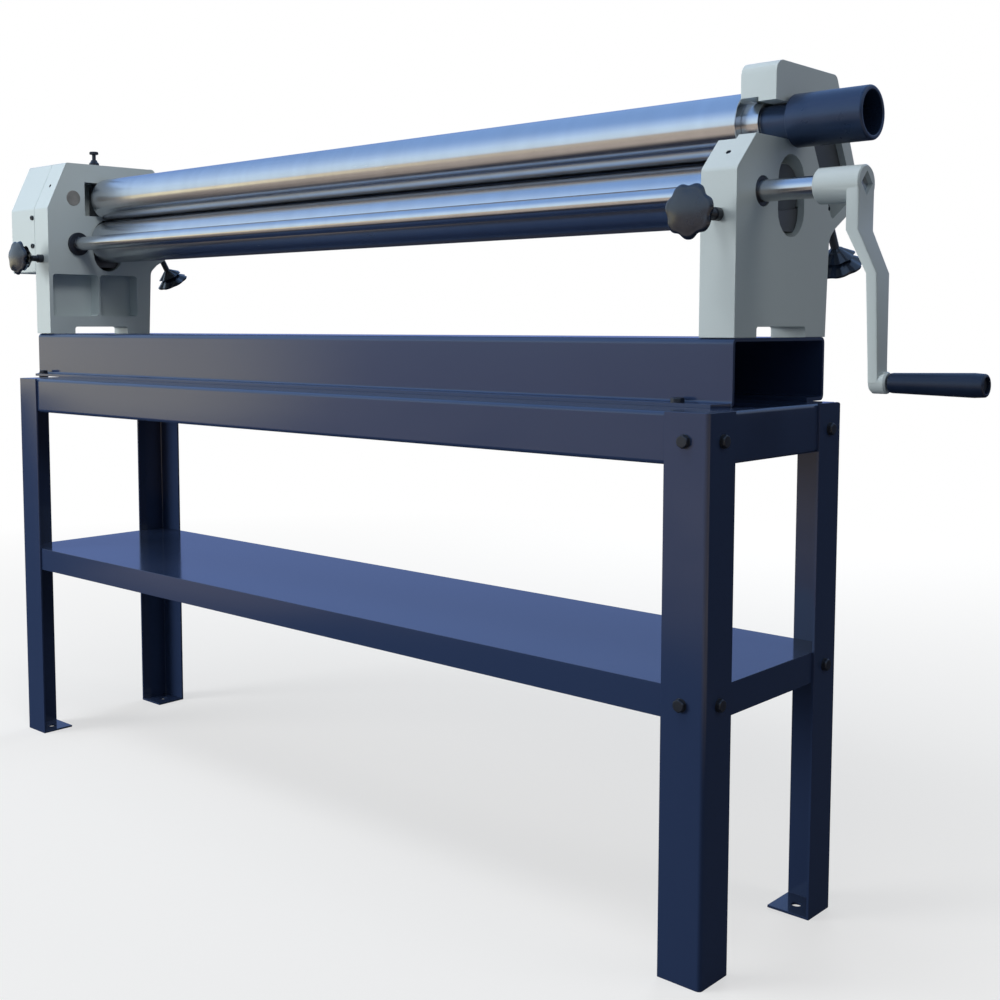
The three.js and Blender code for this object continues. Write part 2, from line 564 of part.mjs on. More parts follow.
add('housing_right', CASTING, cut(prism('x', rightOutline, RIGHT_IN, RIGHT_OUT),
  ...housingCuts(RIGHT_MID, RIGHT_FRONT),
  fork(SLOT_OUT, RIGHT_IN - 1, RIGHT_OUT + 1),
  fork(SLOT_IN, RIGHT_IN - 1, RIGHT_MID),
  oilHole(RIGHT_MID, RIGHT_OIL_SPOT, RIGHT_OIL_WAY),
  rod('x', 3, RIGHT_OUT - 8, RIGHT_OUT + 1, [0, ...EAR_HOLE], 12)));

// Left housing: pocket for the pivot block, two cored pockets low down, lugs for the gear cover
const leftOutline = rounded([
  [LEFT_FRONT, BASE_TOP], [LEFT_FRONT, LEFT_SHOULDER, 8], [LEFT_TOP_FRONT, COVER_TOP, 4],
  [ROLL_Y + CAP_BACK - 12, HOUSING_TOP - 1, 1], ...BACK_EDGE,
]);
const PLUG_SPOT = [5, UPPER_Z];
const pinSpot = [LEFT_MID, ROLL_Y - PIN_AHEAD, 0];
const PLUG = 13.5;
const LUG = [LOWER_Z - 20, LOWER_Z + 51];
const lugs = box(LEFT_OUT - 14, LEFT_OUT + 1, LEFT_FRONT + COVER_WALL + RUN, LEFT_FRONT + COVER_WALL + 12, ...LUG);
const cores = CORES.map(([y0, y1]) => prism('x', rounded([
  [y0, CORE_BOTTOM, CORE_ROUND], [y1, CORE_BOTTOM, CORE_ROUND], [y1, CORE_TOP, CORE_ROUND], [y0, CORE_TOP, CORE_ROUND],
]), LEFT_IN - CORE_DEPTH, LEFT_IN + 1));
add('housing_left', CASTING, cut(union(prism('x', leftOutline, LEFT_OUT, LEFT_IN), lugs),
  ...housingCuts(LEFT_MID, LEFT_FRONT),
  box(LEFT_MID - PIVOT - 0.5, LEFT_IN + 1, ROLL_Y - PIVOT_POCKET_Y, ROLL_Y + PIVOT_POCKET_Y,
    UPPER_Z - PIVOT_POCKET_Z, UPPER_Z + PIVOT_POCKET_Z),
  rod('x', SOCKET + RUN, LEFT_OUT - 1, LEFT_MID, [0, ROLL_Y, UPPER_Z], 16),
  rod('z', SOCKET + RUN, UPPER_Z - PIVOT_POCKET_Z - 8, UPPER_Z, [LEFT_MID, ROLL_Y, 0], 16),
  rod('z', PIN + RUN, UPPER_Z, HOUSING_TOP + 1, pinSpot, 16),
  ...cores,
  rod('x', PLUG + SEAT, LEFT_IN - 8, LEFT_IN + 1, [0, ...PLUG_SPOT], 20),
  oilHole(LEFT_MID, LEFT_OIL_SPOT, LEFT_OIL_WAY),
  ...COVER_SCREWS_Z.map((z) => rod('y', 2.8, LEFT_FRONT, LEFT_FRONT + 30, [COVER_SCREW_X, 0, z], 8))));

add('housing_plug', CAST_IRON, rod('x', PLUG, LEFT_IN - 8, LEFT_IN + 0.8, [0, ...PLUG_SPOT], 20));

// Gear cover: shell open towards the housing, with two blind bosses that carry the shaft ends
const coverOutline = (inset) => rounded([
  [LEFT_FRONT + inset, COVER_BOTTOM + inset, 3], [LEFT_FRONT + inset, LEFT_SHOULDER - inset * 0.2, 8],
  [LEFT_TOP_FRONT + inset * 0.45, COVER_TOP - inset, 4], [COVER_BACK - inset, COVER_TOP - inset, 14 - inset],
  [COVER_BACK - inset, COVER_BOTTOM + inset, 3],
]);
const boss = (y, z) => cut(rod('x', 17, COVER_LEFT + 1, COVER_LEFT + 18, [0, y, z], 16),
  rod('x', GEAR_SHAFT + RUN + 0.2, COVER_LEFT + COVER_WALL + 2, COVER_LEFT + 19, [0, y, z], 16));
const coverShell = union(
  prism('x', coverOutline(0), COVER_LEFT, LEFT_OUT - COVER_STEP),
  prism('x', coverOutline(COVER_STEP), LEFT_OUT - COVER_STEP - 0.5, LEFT_OUT));
const coverHollow = prism('x', coverOutline(COVER_WALL), COVER_LEFT + COVER_WALL, LEFT_OUT + 1);
const coverBores = COVER_SCREWS_Z.map((z) =>
  rod('y', 2.8, LEFT_FRONT - 1, LEFT_FRONT + COVER_WALL + 1, [COVER_SCREW_X, 0, z], 8));
add('gear_cover', CASTING, cut(
  union(cut(coverShell, coverHollow), boss(CRANK_Y, CRANK_Z), boss(ROLL_Y, UPPER_Z)), ...coverBores));
COVER_SCREWS_Z.forEach((z, i) => add(`cover_screw_${['upper', 'lower'][i]}`, BLACKENED,
  turned([[0, -3], [3.2, -3], [4.2, -2], [4.2, 0], [2.5, 0], [2.5, 14], [0, 14]],
    [COVER_SCREW_X, LEFT_FRONT, z], ALONG.y, 8)));

// Crank shaft with its two bushes: square at the crank end, turned down in the cover
const crankAxis = [0, CRANK_Y, CRANK_Z];
add('crank_bush_right', BLACKENED, ring(BUSH, CRANK_SHAFT + RUN, RIGHT_IN - 2, RIGHT_OUT - 1, crankAxis, 20));
add('crank_bush_left', BLACKENED, turned([[CRANK_SHAFT + RUN, LEFT_OUT + 1], [BUSH, LEFT_OUT + 1], [BUSH, LEFT_IN],
  [LEFT_BUSH_FLANGE, LEFT_IN], [LEFT_BUSH_FLANGE, LEFT_IN + LEFT_BUSH_OUT - 1], [LEFT_BUSH_FLANGE - 1, LEFT_IN + LEFT_BUSH_OUT],
  [CRANK_SHAFT + RUN, LEFT_IN + LEFT_BUSH_OUT], [CRANK_SHAFT + RUN, LEFT_OUT + 1]], crankAxis, ALONG.x, 20));

const SHAFT_STEP = GEAR_LEFT - 6;
const SQUARE_START = HUB_LEFT + 18;
const SQUARE_END = ARM_OUT - 5;
const diamond = (side) => {
  const d = side / Math.SQRT2;
  return [[CRANK_Y + d, CRANK_Z], [CRANK_Y, CRANK_Z + d], [CRANK_Y - d, CRANK_Z], [CRANK_Y, CRANK_Z - d]];
};
add('crank_shaft', POLISHED, union(
  turned([[0, COVER_LEFT + 8], [GEAR_SHAFT - 1, COVER_LEFT + 8], [GEAR_SHAFT, COVER_LEFT + 9], [GEAR_SHAFT, SHAFT_STEP],
    [CRANK_SHAFT, SHAFT_STEP], [CRANK_SHAFT, SQUARE_START - 1], [0, SQUARE_START - 1]], crankAxis, ALONG.x, 20),
  prism('x', diamond(SQUARE), SQUARE_START - 2, SQUARE_END)
    .intersect(rod('x', CRANK_SHAFT, SQUARE_START - 3, SQUARE_END + 1, crankAxis, 20))));

// Spur gear outline with flanks thinned for the travel of the lower roll
function gearOutline(teeth, [cy, cz], phase) {
  const pitch = MODULE * teeth / 2;
  const half = (thickness, radius) => thickness / 2 / radius;
  const points = [];
  for (let k = 0; k < teeth; k += 1) {
    const a = phase + 2 * Math.PI * k / teeth;
    const put = (radius, angle) => points.push([cy + radius * Math.cos(a + angle), cz + radius * Math.sin(a + angle)]);
    const flank = [
      [pitch - 1.25 * MODULE, half(TOOTH + 2.5, pitch - 1.25 * MODULE)],
      [pitch + MODULE, half(TOOTH - 2.2, pitch + MODULE)],
    ];
    flank.forEach(([r, w]) => put(r, -w));
    [...flank].reverse().forEach(([r, w]) => put(r, w));
  }
  return points;
}

// Teeth mesh when the tooth counts times the angles from the centre line add up to half a turn
function meshedPhase(phase, teeth, from, otherTeeth, to) {
  const line = Math.atan2(to[1] - from[1], to[0] - from[0]);
  return line + Math.PI + (Math.PI - (phase - line) * teeth) / otherTeeth;
}

function gear(teeth, centre, phase, bore) {
  const hub = rod('x', bore + 7, GEAR_LEFT - 4, GEAR_RIGHT + 4, [0, ...centre], 16);
  return cut(union(prism('x', gearOutline(teeth, centre, phase), GEAR_LEFT, GEAR_RIGHT), hub),
    rod('x', bore + SEAT, GEAR_LEFT - 9, GEAR_RIGHT + 9, [0, ...centre]));
}

const pinionSpot = [CRANK_Y, CRANK_Z];
const lowerSpot = [ROLL_Y, LOWER_Z];
const upperSpot = [ROLL_Y, UPPER_Z];
const pinionPhase = Math.atan2(lowerSpot[1] - pinionSpot[1], lowerSpot[0] - pinionSpot[0]);
const lowerPhase = meshedPhase(pinionPhase, PINION_TEETH, pinionSpot, ROLL_TEETH, lowerSpot);
const upperPhase = meshedPhase(lowerPhase, ROLL_TEETH, lowerSpot, ROLL_TEETH, upperSpot);
add('crank_pinion', CAST_IRON, cut(
  prism('x', gearOutline(PINION_TEETH, pinionSpot, pinionPhase), GEAR_LEFT, GEAR_RIGHT),
  rod('x', CRANK_SHAFT + SEAT, GEAR_LEFT - 9, GEAR_RIGHT + 9, crankAxis)));
add('lower_gear', CAST_IRON, gear(ROLL_TEETH, lowerSpot, lowerPhase, JOURNAL));
add('upper_gear', CAST_IRON, gear(ROLL_TEETH, upperSpot, upperPhase, GEAR_SHAFT));

// Upper gear shaft: runs in the cover, drives the roll through a six-sided ball at the pivot
const upperAxis = [0, ROLL_Y, UPPER_Z];
add('upper_gear_shaft', GROUND, union(
  turned([[0, COVER_LEFT + 8], [GEAR_SHAFT - 1, COVER_LEFT + 8], [GEAR_SHAFT, COVER_LEFT + 9], [GEAR_SHAFT, LEFT_OUT - 2],
    [SOCKET - 0.3, LEFT_OUT - 2], [SOCKET - 0.3, LEFT_MID - PIVOT], [4.2, LEFT_MID - PIVOT], [4.2, LEFT_MID - 3],
    [0, LEFT_MID - 3]], upperAxis, ALONG.x, 16),
  turned([[0, LEFT_MID - 6.5], [3.6, LEFT_MID - 6], [6.2, LEFT_MID - 3], [7, LEFT_MID],
    [6.2, LEFT_MID + 3], [3.6, LEFT_MID + 6], [0, LEFT_MID + 6.5]], upperAxis, ALONG.x, 6)));

// Upper roll: left journal with the drive socket, right neck for the fork and the handle
const NECK_END = HANDLE_RIGHT - HANDLE_RECESS - 1;
const rollBody = turned([[0, LEFT_MID - 14], [UPPER_JOURNAL, LEFT_MID - 14], [UPPER_JOURNAL, UPPER_LEFT],
  [ROLL_RADIUS - 1.5, UPPER_LEFT], [ROLL_RADIUS, UPPER_LEFT + 1.5], [ROLL_RADIUS, UPPER_RIGHT - 1.5],
  [ROLL_RADIUS - 1.5, UPPER_RIGHT], [NECK, UPPER_RIGHT], [NECK, NECK_END - 1], [NECK - 1, NECK_END], [0, NECK_END]],
upperAxis, ALONG.x, 32);
add('upper_roll', POLISHED, cut(rollBody,
  turned([[0, LEFT_MID - 15], [SOCKET + 1, LEFT_MID - 15], [SOCKET + 1, LEFT_MID + 12], [0, LEFT_MID + 12]],
    upperAxis, ALONG.x, 6),
  rod('x', 4.3, NECK_END - 22, NECK_END + 1, upperAxis, 16)));
add('roll_collar', POLISHED, ring(COLLAR, NECK + SEAT, UPPER_RIGHT, UPPER_RIGHT + COLLAR_LENGTH, upperAxis, 32));
add('roll_handle', BLACKENED, turned([
  [NECK + RUN, HANDLE_LEFT], [HANDLE - 1, HANDLE_LEFT], [HANDLE, HANDLE_LEFT + 1], [HANDLE, HANDLE_RIGHT - 2],
  [HANDLE - 2, HANDLE_RIGHT], [HANDLE - 5, HANDLE_RIGHT], [HANDLE - 5, HANDLE_RIGHT - HANDLE_RECESS],
  [NECK + RUN, HANDLE_RIGHT - HANDLE_RECESS], [NECK + RUN, HANDLE_LEFT],
], upperAxis, ALONG.x, 32));
const KEEPER = HANDLE_RIGHT - HANDLE_RECESS + RUN;
add('handle_keeper', BLACKENED, turned([[0, NECK_END - 20], [4, NECK_END - 20], [4, KEEPER], [NECK + 2.5, KEEPER],
  [NECK + 2.5, KEEPER + 2.5], [7.5, KEEPER + 2.5], [7.5, KEEPER + 7], [6.5, KEEPER + 8], [0, KEEPER + 8]],
upperAxis, ALONG.x, 16));

// Pivot block of the upper roll: the spring pin ahead of its axis runs in a groove that ends the swing
const PIVOT_TOP = UPPER_Z + PIVOT_POCKET_Z - 0.4;
const PIVOT_BOTTOM = UPPER_Z - PIVOT_POCKET_Z + RUN;
const PIN_REST = PIVOT_TOP - 6;
const groove = Array.from({ length: 7 }, (_, k) => {
  const a = THREE.MathUtils.degToRad(-91 + (SWING + 2) * k / 6);
  return [Math.cos(a), Math.sin(a)];
});
const grooveSide = (radius, points) => points.map(([u, v]) => [LEFT_MID + radius * u, ROLL_Y + radius * v]);
const widened = (radius, sign) => grooveSide(radius, [groove[sign > 0 ? 6 : 0]])
  .map(([x, y]) => [x + sign * (PIN_TIP + RUN), y]);
const [GROOVE_IN, GROOVE_OUT] = [PIN_AHEAD - PIN_TIP - RUN, PIN_AHEAD + PIN_TIP + RUN];
add('roll_pivot', CAST_IRON, cut(
  turned([[0, PIVOT_BOTTOM - 7], [SOCKET, PIVOT_BOTTOM - 7], [SOCKET, PIVOT_BOTTOM], [PIVOT, PIVOT_BOTTOM],
    [PIVOT, PIVOT_TOP], [0, PIVOT_TOP]], [LEFT_MID, ROLL_Y, 0], ALONG.z, 24),
  rod('x', UPPER_JOURNAL + RUN, LEFT_MID - PIVOT - 1, LEFT_MID + PIVOT + 1, upperAxis),
  prism('z', [...grooveSide(GROOVE_IN, groove), ...widened(GROOVE_IN, 1), ...widened(GROOVE_OUT, 1),
    ...grooveSide(GROOVE_OUT, [...groove].reverse()), ...widened(GROOVE_OUT, -1), ...widened(GROOVE_IN, -1)],
  PIN_REST - 1, PIVOT_TOP + 1)));
add('pivot_pin', GROUND, turned([[0, PIN_REST], [PIN_TIP - 1, PIN_REST], [PIN_TIP, PIN_REST + 1],
  [PIN_TIP, PIVOT_TOP + 2], [PIN, PIVOT_TOP + 2], [PIN, HOUSING_TOP - 18], [3.4, HOUSING_TOP - 18],
  [3.4, PIN_TOP - 5.5], [4.5, PIN_TOP - 5.5], [8, PIN_TOP - 4.5], [8, PIN_TOP - 1], [7, PIN_TOP], [0, PIN_TOP]],
pinSpot, ALONG.z, 16));
add('pin_guide', BLACKENED, turned([[3.4 + RUN, HOUSING_TOP - 8], [PIN, HOUSING_TOP - 8], [PIN, HOUSING_TOP],
  [9, HOUSING_TOP], [9, HOUSING_TOP + 3], [5.2, HOUSING_TOP + 9], [3.4 + RUN, HOUSING_TOP + 9],
  [3.4 + RUN, HOUSING_TOP - 8]], pinSpot, ALONG.z, 16));

// Lower and rear rolls with journals in their bearing blocks
const PLAIN_LEFT = LEFT_IN + ROLL_END_GAP;
const PLAIN_RIGHT = RIGHT_IN - ROLL_END_GAP;
const BORE_RIGHT = RIGHT_MID + BLOCK_WIDTH / 2 - BLOCK_WALL;
const BORE_LEFT = LEFT_MID - BLOCK_WIDTH / 2 + BLOCK_WALL;
function plainRoll(axis, left) {
  const right = BORE_RIGHT - 1;
  return turned([[0, left], [JOURNAL - 1, left], [JOURNAL, left + 1], [JOURNAL, PLAIN_LEFT],
    [ROLL_RADIUS - 1.5, PLAIN_LEFT], [ROLL_RADIUS, PLAIN_LEFT + 1.5], [ROLL_RADIUS, PLAIN_RIGHT - 1.5],
    [ROLL_RADIUS - 1.5, PLAIN_RIGHT], [JOURNAL, PLAIN_RIGHT], [JOURNAL, right], [0, right]],
  axis, ALONG.x, 32);
}
const REAR_SPOT = slanted(REAR_REST);
add('lower_roll', POLISHED, plainRoll([0, ROLL_Y, LOWER_Z], GEAR_LEFT - 6));
add('rear_roll', POLISHED, plainRoll([0, ...REAR_SPOT], BORE_LEFT + 1));

function lowerBlock(mid, bore) {
  const [x0, x1] = [mid - BLOCK_WIDTH / 2, mid + BLOCK_WIDTH / 2];
  const disc = rod('x', BLOCK_HOLE - RUN, x0, x1, [0, ROLL_Y, LOWER_Z], 32);
  const plane = (y) => WEDGE_TOP + RUN + (y - ROLL_Y) * WEDGE_SLOPE;
  const [y0, y1] = [ROLL_Y - BLOCK_HOLE - 9, ROLL_Y + BLOCK_HOLE + 9];
  const floor = BLOCK_HOLE_BOTTOM - 9;
  const below = prism('x', [[y0, floor], [y1, floor], [y1, plane(y1)], [y0, plane(y0)]], x0 - 1, x1 + 1);
  return cut(disc, below, rod('x', JOURNAL + RUN, ...bore, [0, ROLL_Y, LOWER_Z]));
}
add('lower_block_right', CAST_IRON, lowerBlock(RIGHT_MID, [RIGHT_MID - 20, BORE_RIGHT]));
add('lower_block_left', CAST_IRON, lowerBlock(LEFT_MID, [LEFT_MID - 20, LEFT_MID + 20]));

function wedge(mid) {
  const top = (y) => WEDGE_TOP + (y - ROLL_Y) * WEDGE_SLOPE;
  const [y0, y1] = [ROLL_Y - WEDGE_HALF, ROLL_Y + WEDGE_HALF];
  return cut(prism('x', [[y0, WEDGE_BOTTOM], [y1, WEDGE_BOTTOM], [y1, top(y1)], [y0, top(y0)]],
    mid - WEDGE_WIDTH / 2, mid + WEDGE_WIDTH / 2),
  rod('y', SCREW + RUN, y0 - 1, y1 + 1, [mid, 0, FRONT_SCREW_Z], 12));
}
add('wedge_right', GROUND, wedge(RIGHT_MID));
add('wedge_left', GROUND, wedge(LEFT_MID));

function rearBlock(mid, bore) {
  const [near, far] = [REAR_REST - REAR_BLOCK_HALF, REAR_REST + REAR_BLOCK_HALF];
  const hole = SCREW + 0.5 + RUN;
  return cut(
    prism('x', slantRect(near, far, REAR_SLOT_HALF - RUN, 4), mid - BLOCK_WIDTH / 2, mid + BLOCK_WIDTH / 2),
    rod('x', JOURNAL + RUN, ...bore, [0, ...REAR_SPOT]),
    turned([[0, 50], [hole, 50], [hole, near + 7], [0, near + 7]], [mid, ...slanted(0)], [0, ...ALONG_SLANT], 12));
}
add('rear_block_right', CAST_IRON, rearBlock(RIGHT_MID, [RIGHT_MID - 20, BORE_RIGHT]));
add('rear_block_left', CAST_IRON, rearBlock(LEFT_MID, [BORE_LEFT, LEFT_MID + 20]));

// Lobed knobs moulded on their screws: the knob face is at station 0 and the screw runs on along the direction
const frontDirection = [0, 1, 0];
const rearDirection = [0, ...ALONG_SLANT];
const STEM = 5.5;
function screw(origin, direction, reach, radius, collar) {
  const profile = [[0, 10], [STEM, 10], [STEM, KNOB_DEPTH + 4]];
  if (collar) profile.push([STEM, collar - 9], [7.5, collar - 9], [7.5, collar], [radius, collar]);
  else profile.push([radius, KNOB_DEPTH + 4]);
  profile.push([radius, reach - 1], [radius - 1, reach], [0, reach]);
  return turned(profile, origin, direction, 10);
}

function knob(origin, direction) {
  const outline = [];
  const steps = KNOB_LOBES * 4;
  for (let k = 0; k < steps; k += 1) {
    const a = 2 * Math.PI * k / steps;
    const lobe = 0.5 + 0.5 * Math.cos(KNOB_LOBES * a);
    const r = KNOB - 2 - 6 * (1 - lobe) ** 1.6;
    outline.push(new THREE.Vector2(r * Math.cos(a), r * Math.sin(a)));
  }
  const star = new THREE.ExtrudeGeometry(new THREE.Shape(outline), {
    depth: KNOB_RIM - 6, bevelEnabled: true, bevelThickness: 3, bevelSize: 2, bevelSegments: 1, steps: 1,
  });
  const along = new THREE.Vector3(...direction).normalize();
  const q = new THREE.Quaternion().setFromUnitVectors(new THREE.Vector3(0, 0, 1), along);
  star.translate(0, 0, 5);
  star.applyQuaternion(q);
  star.translate(...origin);
  const crown = turned([[0, 0], [10, 0.4], [19, 2.2], [19, 8], [0, 8]], origin, direction, 14);
  const hub = turned([[0, KNOB_RIM - 2], [20, KNOB_RIM + 2], [13.5, KNOB_DEPTH - 6], [10, KNOB_DEPTH - 5],
    [9.5, KNOB_DEPTH], [0, KNOB_DEPTH]], origin, direction, 14);
  return union(solid(star), crown, hub);
}

for (const [side, mid, face] of [['right', RIGHT_MID, RIGHT_FRONT], ['left', LEFT_MID, LEFT_FRONT]]) {
  const front = [mid, FRONT_KNOB_FACE[side], FRONT_SCREW_Z];
  const frontReach = ROLL_Y + WEDGE_HALF + 6 - FRONT_KNOB_FACE[side];
  add(`knob_front_${side}`, PLASTIC, knob(front, frontDirection),
    screw(front, frontDirection, frontReach, SCREW, face - RUN - FRONT_KNOB_FACE[side]));
  const rear = [mid, ...slanted(REAR_KNOB_FACE[side])];
  const rearReach = REAR_REST - REAR_BLOCK_HALF + 6.5 - REAR_KNOB_FACE[side];
  add(`knob_rear_${side}`, PLASTIC, knob(rear, rearDirection), screw(rear, rearDirection, rearReach, SCREW + 0.5));
}

// Crank arm: cranked outwards below the hub and tapered to the grip boss
function armRing([z, x, halfThick, halfWide]) {
  const soft = 2.2;
  return rounded([
    [x - halfThick, CRANK_Y - halfWide, soft], [x + halfThick, CRANK_Y - halfWide, soft],
    [x + halfThick, CRANK_Y + halfWide, soft], [x - halfThick, CRANK_Y + halfWide, soft],
  ], 2).map(([u, v]) => [u, v, z]);
}
const ARM_MID = ARM_OUT - ARM_THICK / 2;
const gripZ = CRANK_Z - CRANK_RADIUS;
const gripAxis = [0, CRANK_Y, gripZ];
const BOSS_END = GRIP_LEFT - 2;
const arm = loft([
  [gripZ, ARM_LOW, 0.4 * ARM_THICK, ARM_HALF_WIDTHS[4]], [gripZ + 22, ARM_LOW - 0.5, 0.4 * ARM_THICK, ARM_HALF_WIDTHS[3]],
  [CRANK_Z - ARM_BENDS[1], ARM_LOW - 2.7, 0.43 * ARM_THICK, ARM_HALF_WIDTHS[2]],
  [CRANK_Z - ARM_BENDS[0], ARM_MID, ARM_THICK / 2, ARM_HALF_WIDTHS[1]],
  [CRANK_Z, ARM_MID, ARM_THICK / 2, ARM_HALF_WIDTHS[0]],
].map(armRing));
const armHub = turned([[0, HUB_LEFT], [HUB - 2, HUB_LEFT], [HUB, HUB_LEFT + 2], [HUB, ARM_OUT - 1.5], [HUB - 1.5, ARM_OUT],
  [0, ARM_OUT]], crankAxis, ALONG.x, 28);
const armBoss = turned([[0, ARM_LOW - 5.8], [BOSS - 2.1, ARM_LOW - 5.8], [BOSS, ARM_LOW - 3.5],
  [BOSS, BOSS_END - 2], [BOSS - 1.4, BOSS_END], [0, BOSS_END]], gripAxis, ALONG.x, 20);
add('crank_arm', CASTING, cut(union(arm, armHub, armBoss),
  rod('x', CRANK_SHAFT + SEAT, HUB_LEFT - 1, SQUARE_START, crankAxis),
  prism('x', diamond(SQUARE + 2 * SEAT), SQUARE_START - 1, ARM_OUT + 1),
  rod('x', SPINDLE + SEAT, ARM_LOW - 7, BOSS_END + 1, gripAxis, 20),
  rod('y', 3.15, CRANK_Y, CRANK_Y + HUB + 1, [HUB_LEFT + 9, 0, CRANK_Z], 12)));
add('crank_set_screw', BLACKENED, turned([[0, CRANK_SHAFT + SEAT], [3, CRANK_SHAFT + SEAT], [3, HUB - 2.5], [2, HUB - 1.5],
  [0, HUB - 1.5]], [HUB_LEFT + 9, CRANK_Y, CRANK_Z], ALONG.y, 12));

// Grip turning on its spindle
add('grip_spindle', BLACKENED, turned([[0, ARM_LOW - 5.8], [SPINDLE, ARM_LOW - 5.8], [SPINDLE, GRIP_RIGHT - 7],
  [8, GRIP_RIGHT - 7], [8, GRIP_RIGHT - 4], [7, GRIP_RIGHT - 3], [0, GRIP_RIGHT - 3]], gripAxis, ALONG.x, 20));
add('crank_grip', PLASTIC, turned([
  [SPINDLE + RUN, GRIP_LEFT], [GRIP - 2.6, GRIP_LEFT], [GRIP - 2, GRIP_LEFT + 1], [GRIP - 0.5, GRIP_RIGHT - 34],
  [GRIP, GRIP_RIGHT - 9], [GRIP - 0.7, GRIP_RIGHT - 2], [GRIP - 2.4, GRIP_RIGHT], [GRIP - 4, GRIP_RIGHT],
  [GRIP - 4, GRIP_RIGHT - 7.5], [SPINDLE + RUN, GRIP_RIGHT - 7.5], [SPINDLE + RUN, GRIP_LEFT],
], gripAxis, ALONG.x, 20));

// Move the bottom centre of the box to the origin
const bounds = new THREE.Box3().setFromObject(group);
const centre = bounds.getCenter(new THREE.Vector3());
for (const mesh of group.children) mesh.geometry.translate(-centre.x, -centre.y, -bounds.min.z);

export default group;
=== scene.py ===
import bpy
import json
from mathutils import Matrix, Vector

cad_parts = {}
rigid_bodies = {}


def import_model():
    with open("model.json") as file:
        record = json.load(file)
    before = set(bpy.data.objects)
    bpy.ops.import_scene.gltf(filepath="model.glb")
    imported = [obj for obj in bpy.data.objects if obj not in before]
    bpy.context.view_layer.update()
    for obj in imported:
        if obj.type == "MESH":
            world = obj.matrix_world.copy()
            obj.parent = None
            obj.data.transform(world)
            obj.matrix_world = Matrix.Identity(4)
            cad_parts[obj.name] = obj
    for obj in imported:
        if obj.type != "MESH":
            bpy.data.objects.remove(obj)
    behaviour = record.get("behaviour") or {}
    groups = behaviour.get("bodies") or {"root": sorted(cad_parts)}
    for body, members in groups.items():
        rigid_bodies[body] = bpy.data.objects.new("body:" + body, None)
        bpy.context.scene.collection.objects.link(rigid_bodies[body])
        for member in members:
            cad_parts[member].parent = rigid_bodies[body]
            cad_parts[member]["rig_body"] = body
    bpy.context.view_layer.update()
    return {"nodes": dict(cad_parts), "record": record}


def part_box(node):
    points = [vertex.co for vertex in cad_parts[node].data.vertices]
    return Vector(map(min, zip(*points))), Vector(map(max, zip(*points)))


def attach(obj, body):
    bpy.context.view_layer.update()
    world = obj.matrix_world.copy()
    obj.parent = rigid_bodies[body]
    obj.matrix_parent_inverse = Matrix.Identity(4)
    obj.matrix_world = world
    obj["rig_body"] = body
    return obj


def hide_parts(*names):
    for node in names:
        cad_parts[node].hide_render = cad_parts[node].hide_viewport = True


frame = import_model()

import json
import math

import bmesh
import bpy
import numpy as np
from bpy.props import FloatProperty, FloatVectorProperty, IntProperty, PointerProperty
from mathutils import Euler, Vector
from mathutils.bvhtree import BVHTree

bl_info = {
    "name": "Slip roll machine",
    "version": (1, 0, 0),
    "blender": (4, 5, 0),
    "location": "3D View > Sidebar > Slip roll",
    "description": "Finished surfaces, paint and studio for a hand slip roll on its stand",
    "category": "Object",
}

MM = 0.001


def middle(low_node, high_node, axis):
    """Halfway between the low side of one node and the high side of another."""
    return (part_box(low_node)[0][axis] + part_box(high_node)[1][axis]) / 2


# The middle of the stand on the floor, from which all stations below are measured in millimetres
STAND = np.array([middle("leg_front_left", "leg_front_right", 0),
                  middle("leg_front_right", "leg_rear_right", 1), 0.0])

# Lines of the rolls and of the crank shaft (Y, Z)
ROLL_Y, UPPER_Z, LOWER_Z = 74.0, 925.0, 849.0
CRANK_Y, CRANK_Z = 12.2534, 843.4

# Faces and middles of the housings along X, and their fronts along Y
RIGHT_IN, RIGHT_OUT, LEFT_IN, LEFT_OUT = 605.0, 650.0, -741.0, -786.0
RIGHT_MID, LEFT_MID = 627.5, -763.5
RIGHT_FRONT, LEFT_FRONT = -43.0, -47.0

# Slant of the rear screws, and where their line starts
SLANT = math.radians(60)
SLANT_WAY = (0.0, -math.cos(SLANT), math.sin(SLANT))
SLANT_Y, SLANT_Z = 207.0, 822.0

ALONG_X, ALONG_Y, ALONG_Z = (1.0, 0.0, 0.0), (0.0, 1.0, 0.0), (0.0, 0.0, 1.0)


def slanted(x, station):
    """A point on the line of a rear screw, a station up the slant."""
    return (x, SLANT_Y + station * SLANT_WAY[1], SLANT_Z + station * SLANT_WAY[2])


# Properties that a user would change

def length(name, description, value):
    return FloatProperty(name=name, description=description, default=value, unit="LENGTH")


def power(name, description, value):
    return FloatProperty(name=name, description=description, default=value, unit="POWER")


def colour(name, description, value):
    return FloatVectorProperty(name=name, description=description, default=value, subtype="COLOR", size=3,
                               min=0, max=1)


class SlipRollShapes(bpy.types.PropertyGroup):
    roll_radius: length("Roll radius", "Radius of the three rolls", 0.0375)
    casting_round: length("Casting edge", "Rounding of the cast outer edges", 0.0035)
    bore_round: length("Bore edge", "Rounding of machined edges", 0.0005)
    sheet_round: length("Sheet edge", "Rounding of cut sheet edges", 0.0006)
    knob_radius: length("Knob radius", "Radius over the lobes of a knob", 0.030)
    knob_lobes: IntProperty(name="Knob lobes", description="Lobes round a knob", default=7, min=3)
    knob_notch: length("Knob notch", "Depth of the notches between lobes", 0.0058)
    thread_pitch: length("Thread pitch", "Advance of a screw for each turn", 0.002)
    around: IntProperty(name="Steps around", description="Steps round a roll", default=144, min=24)


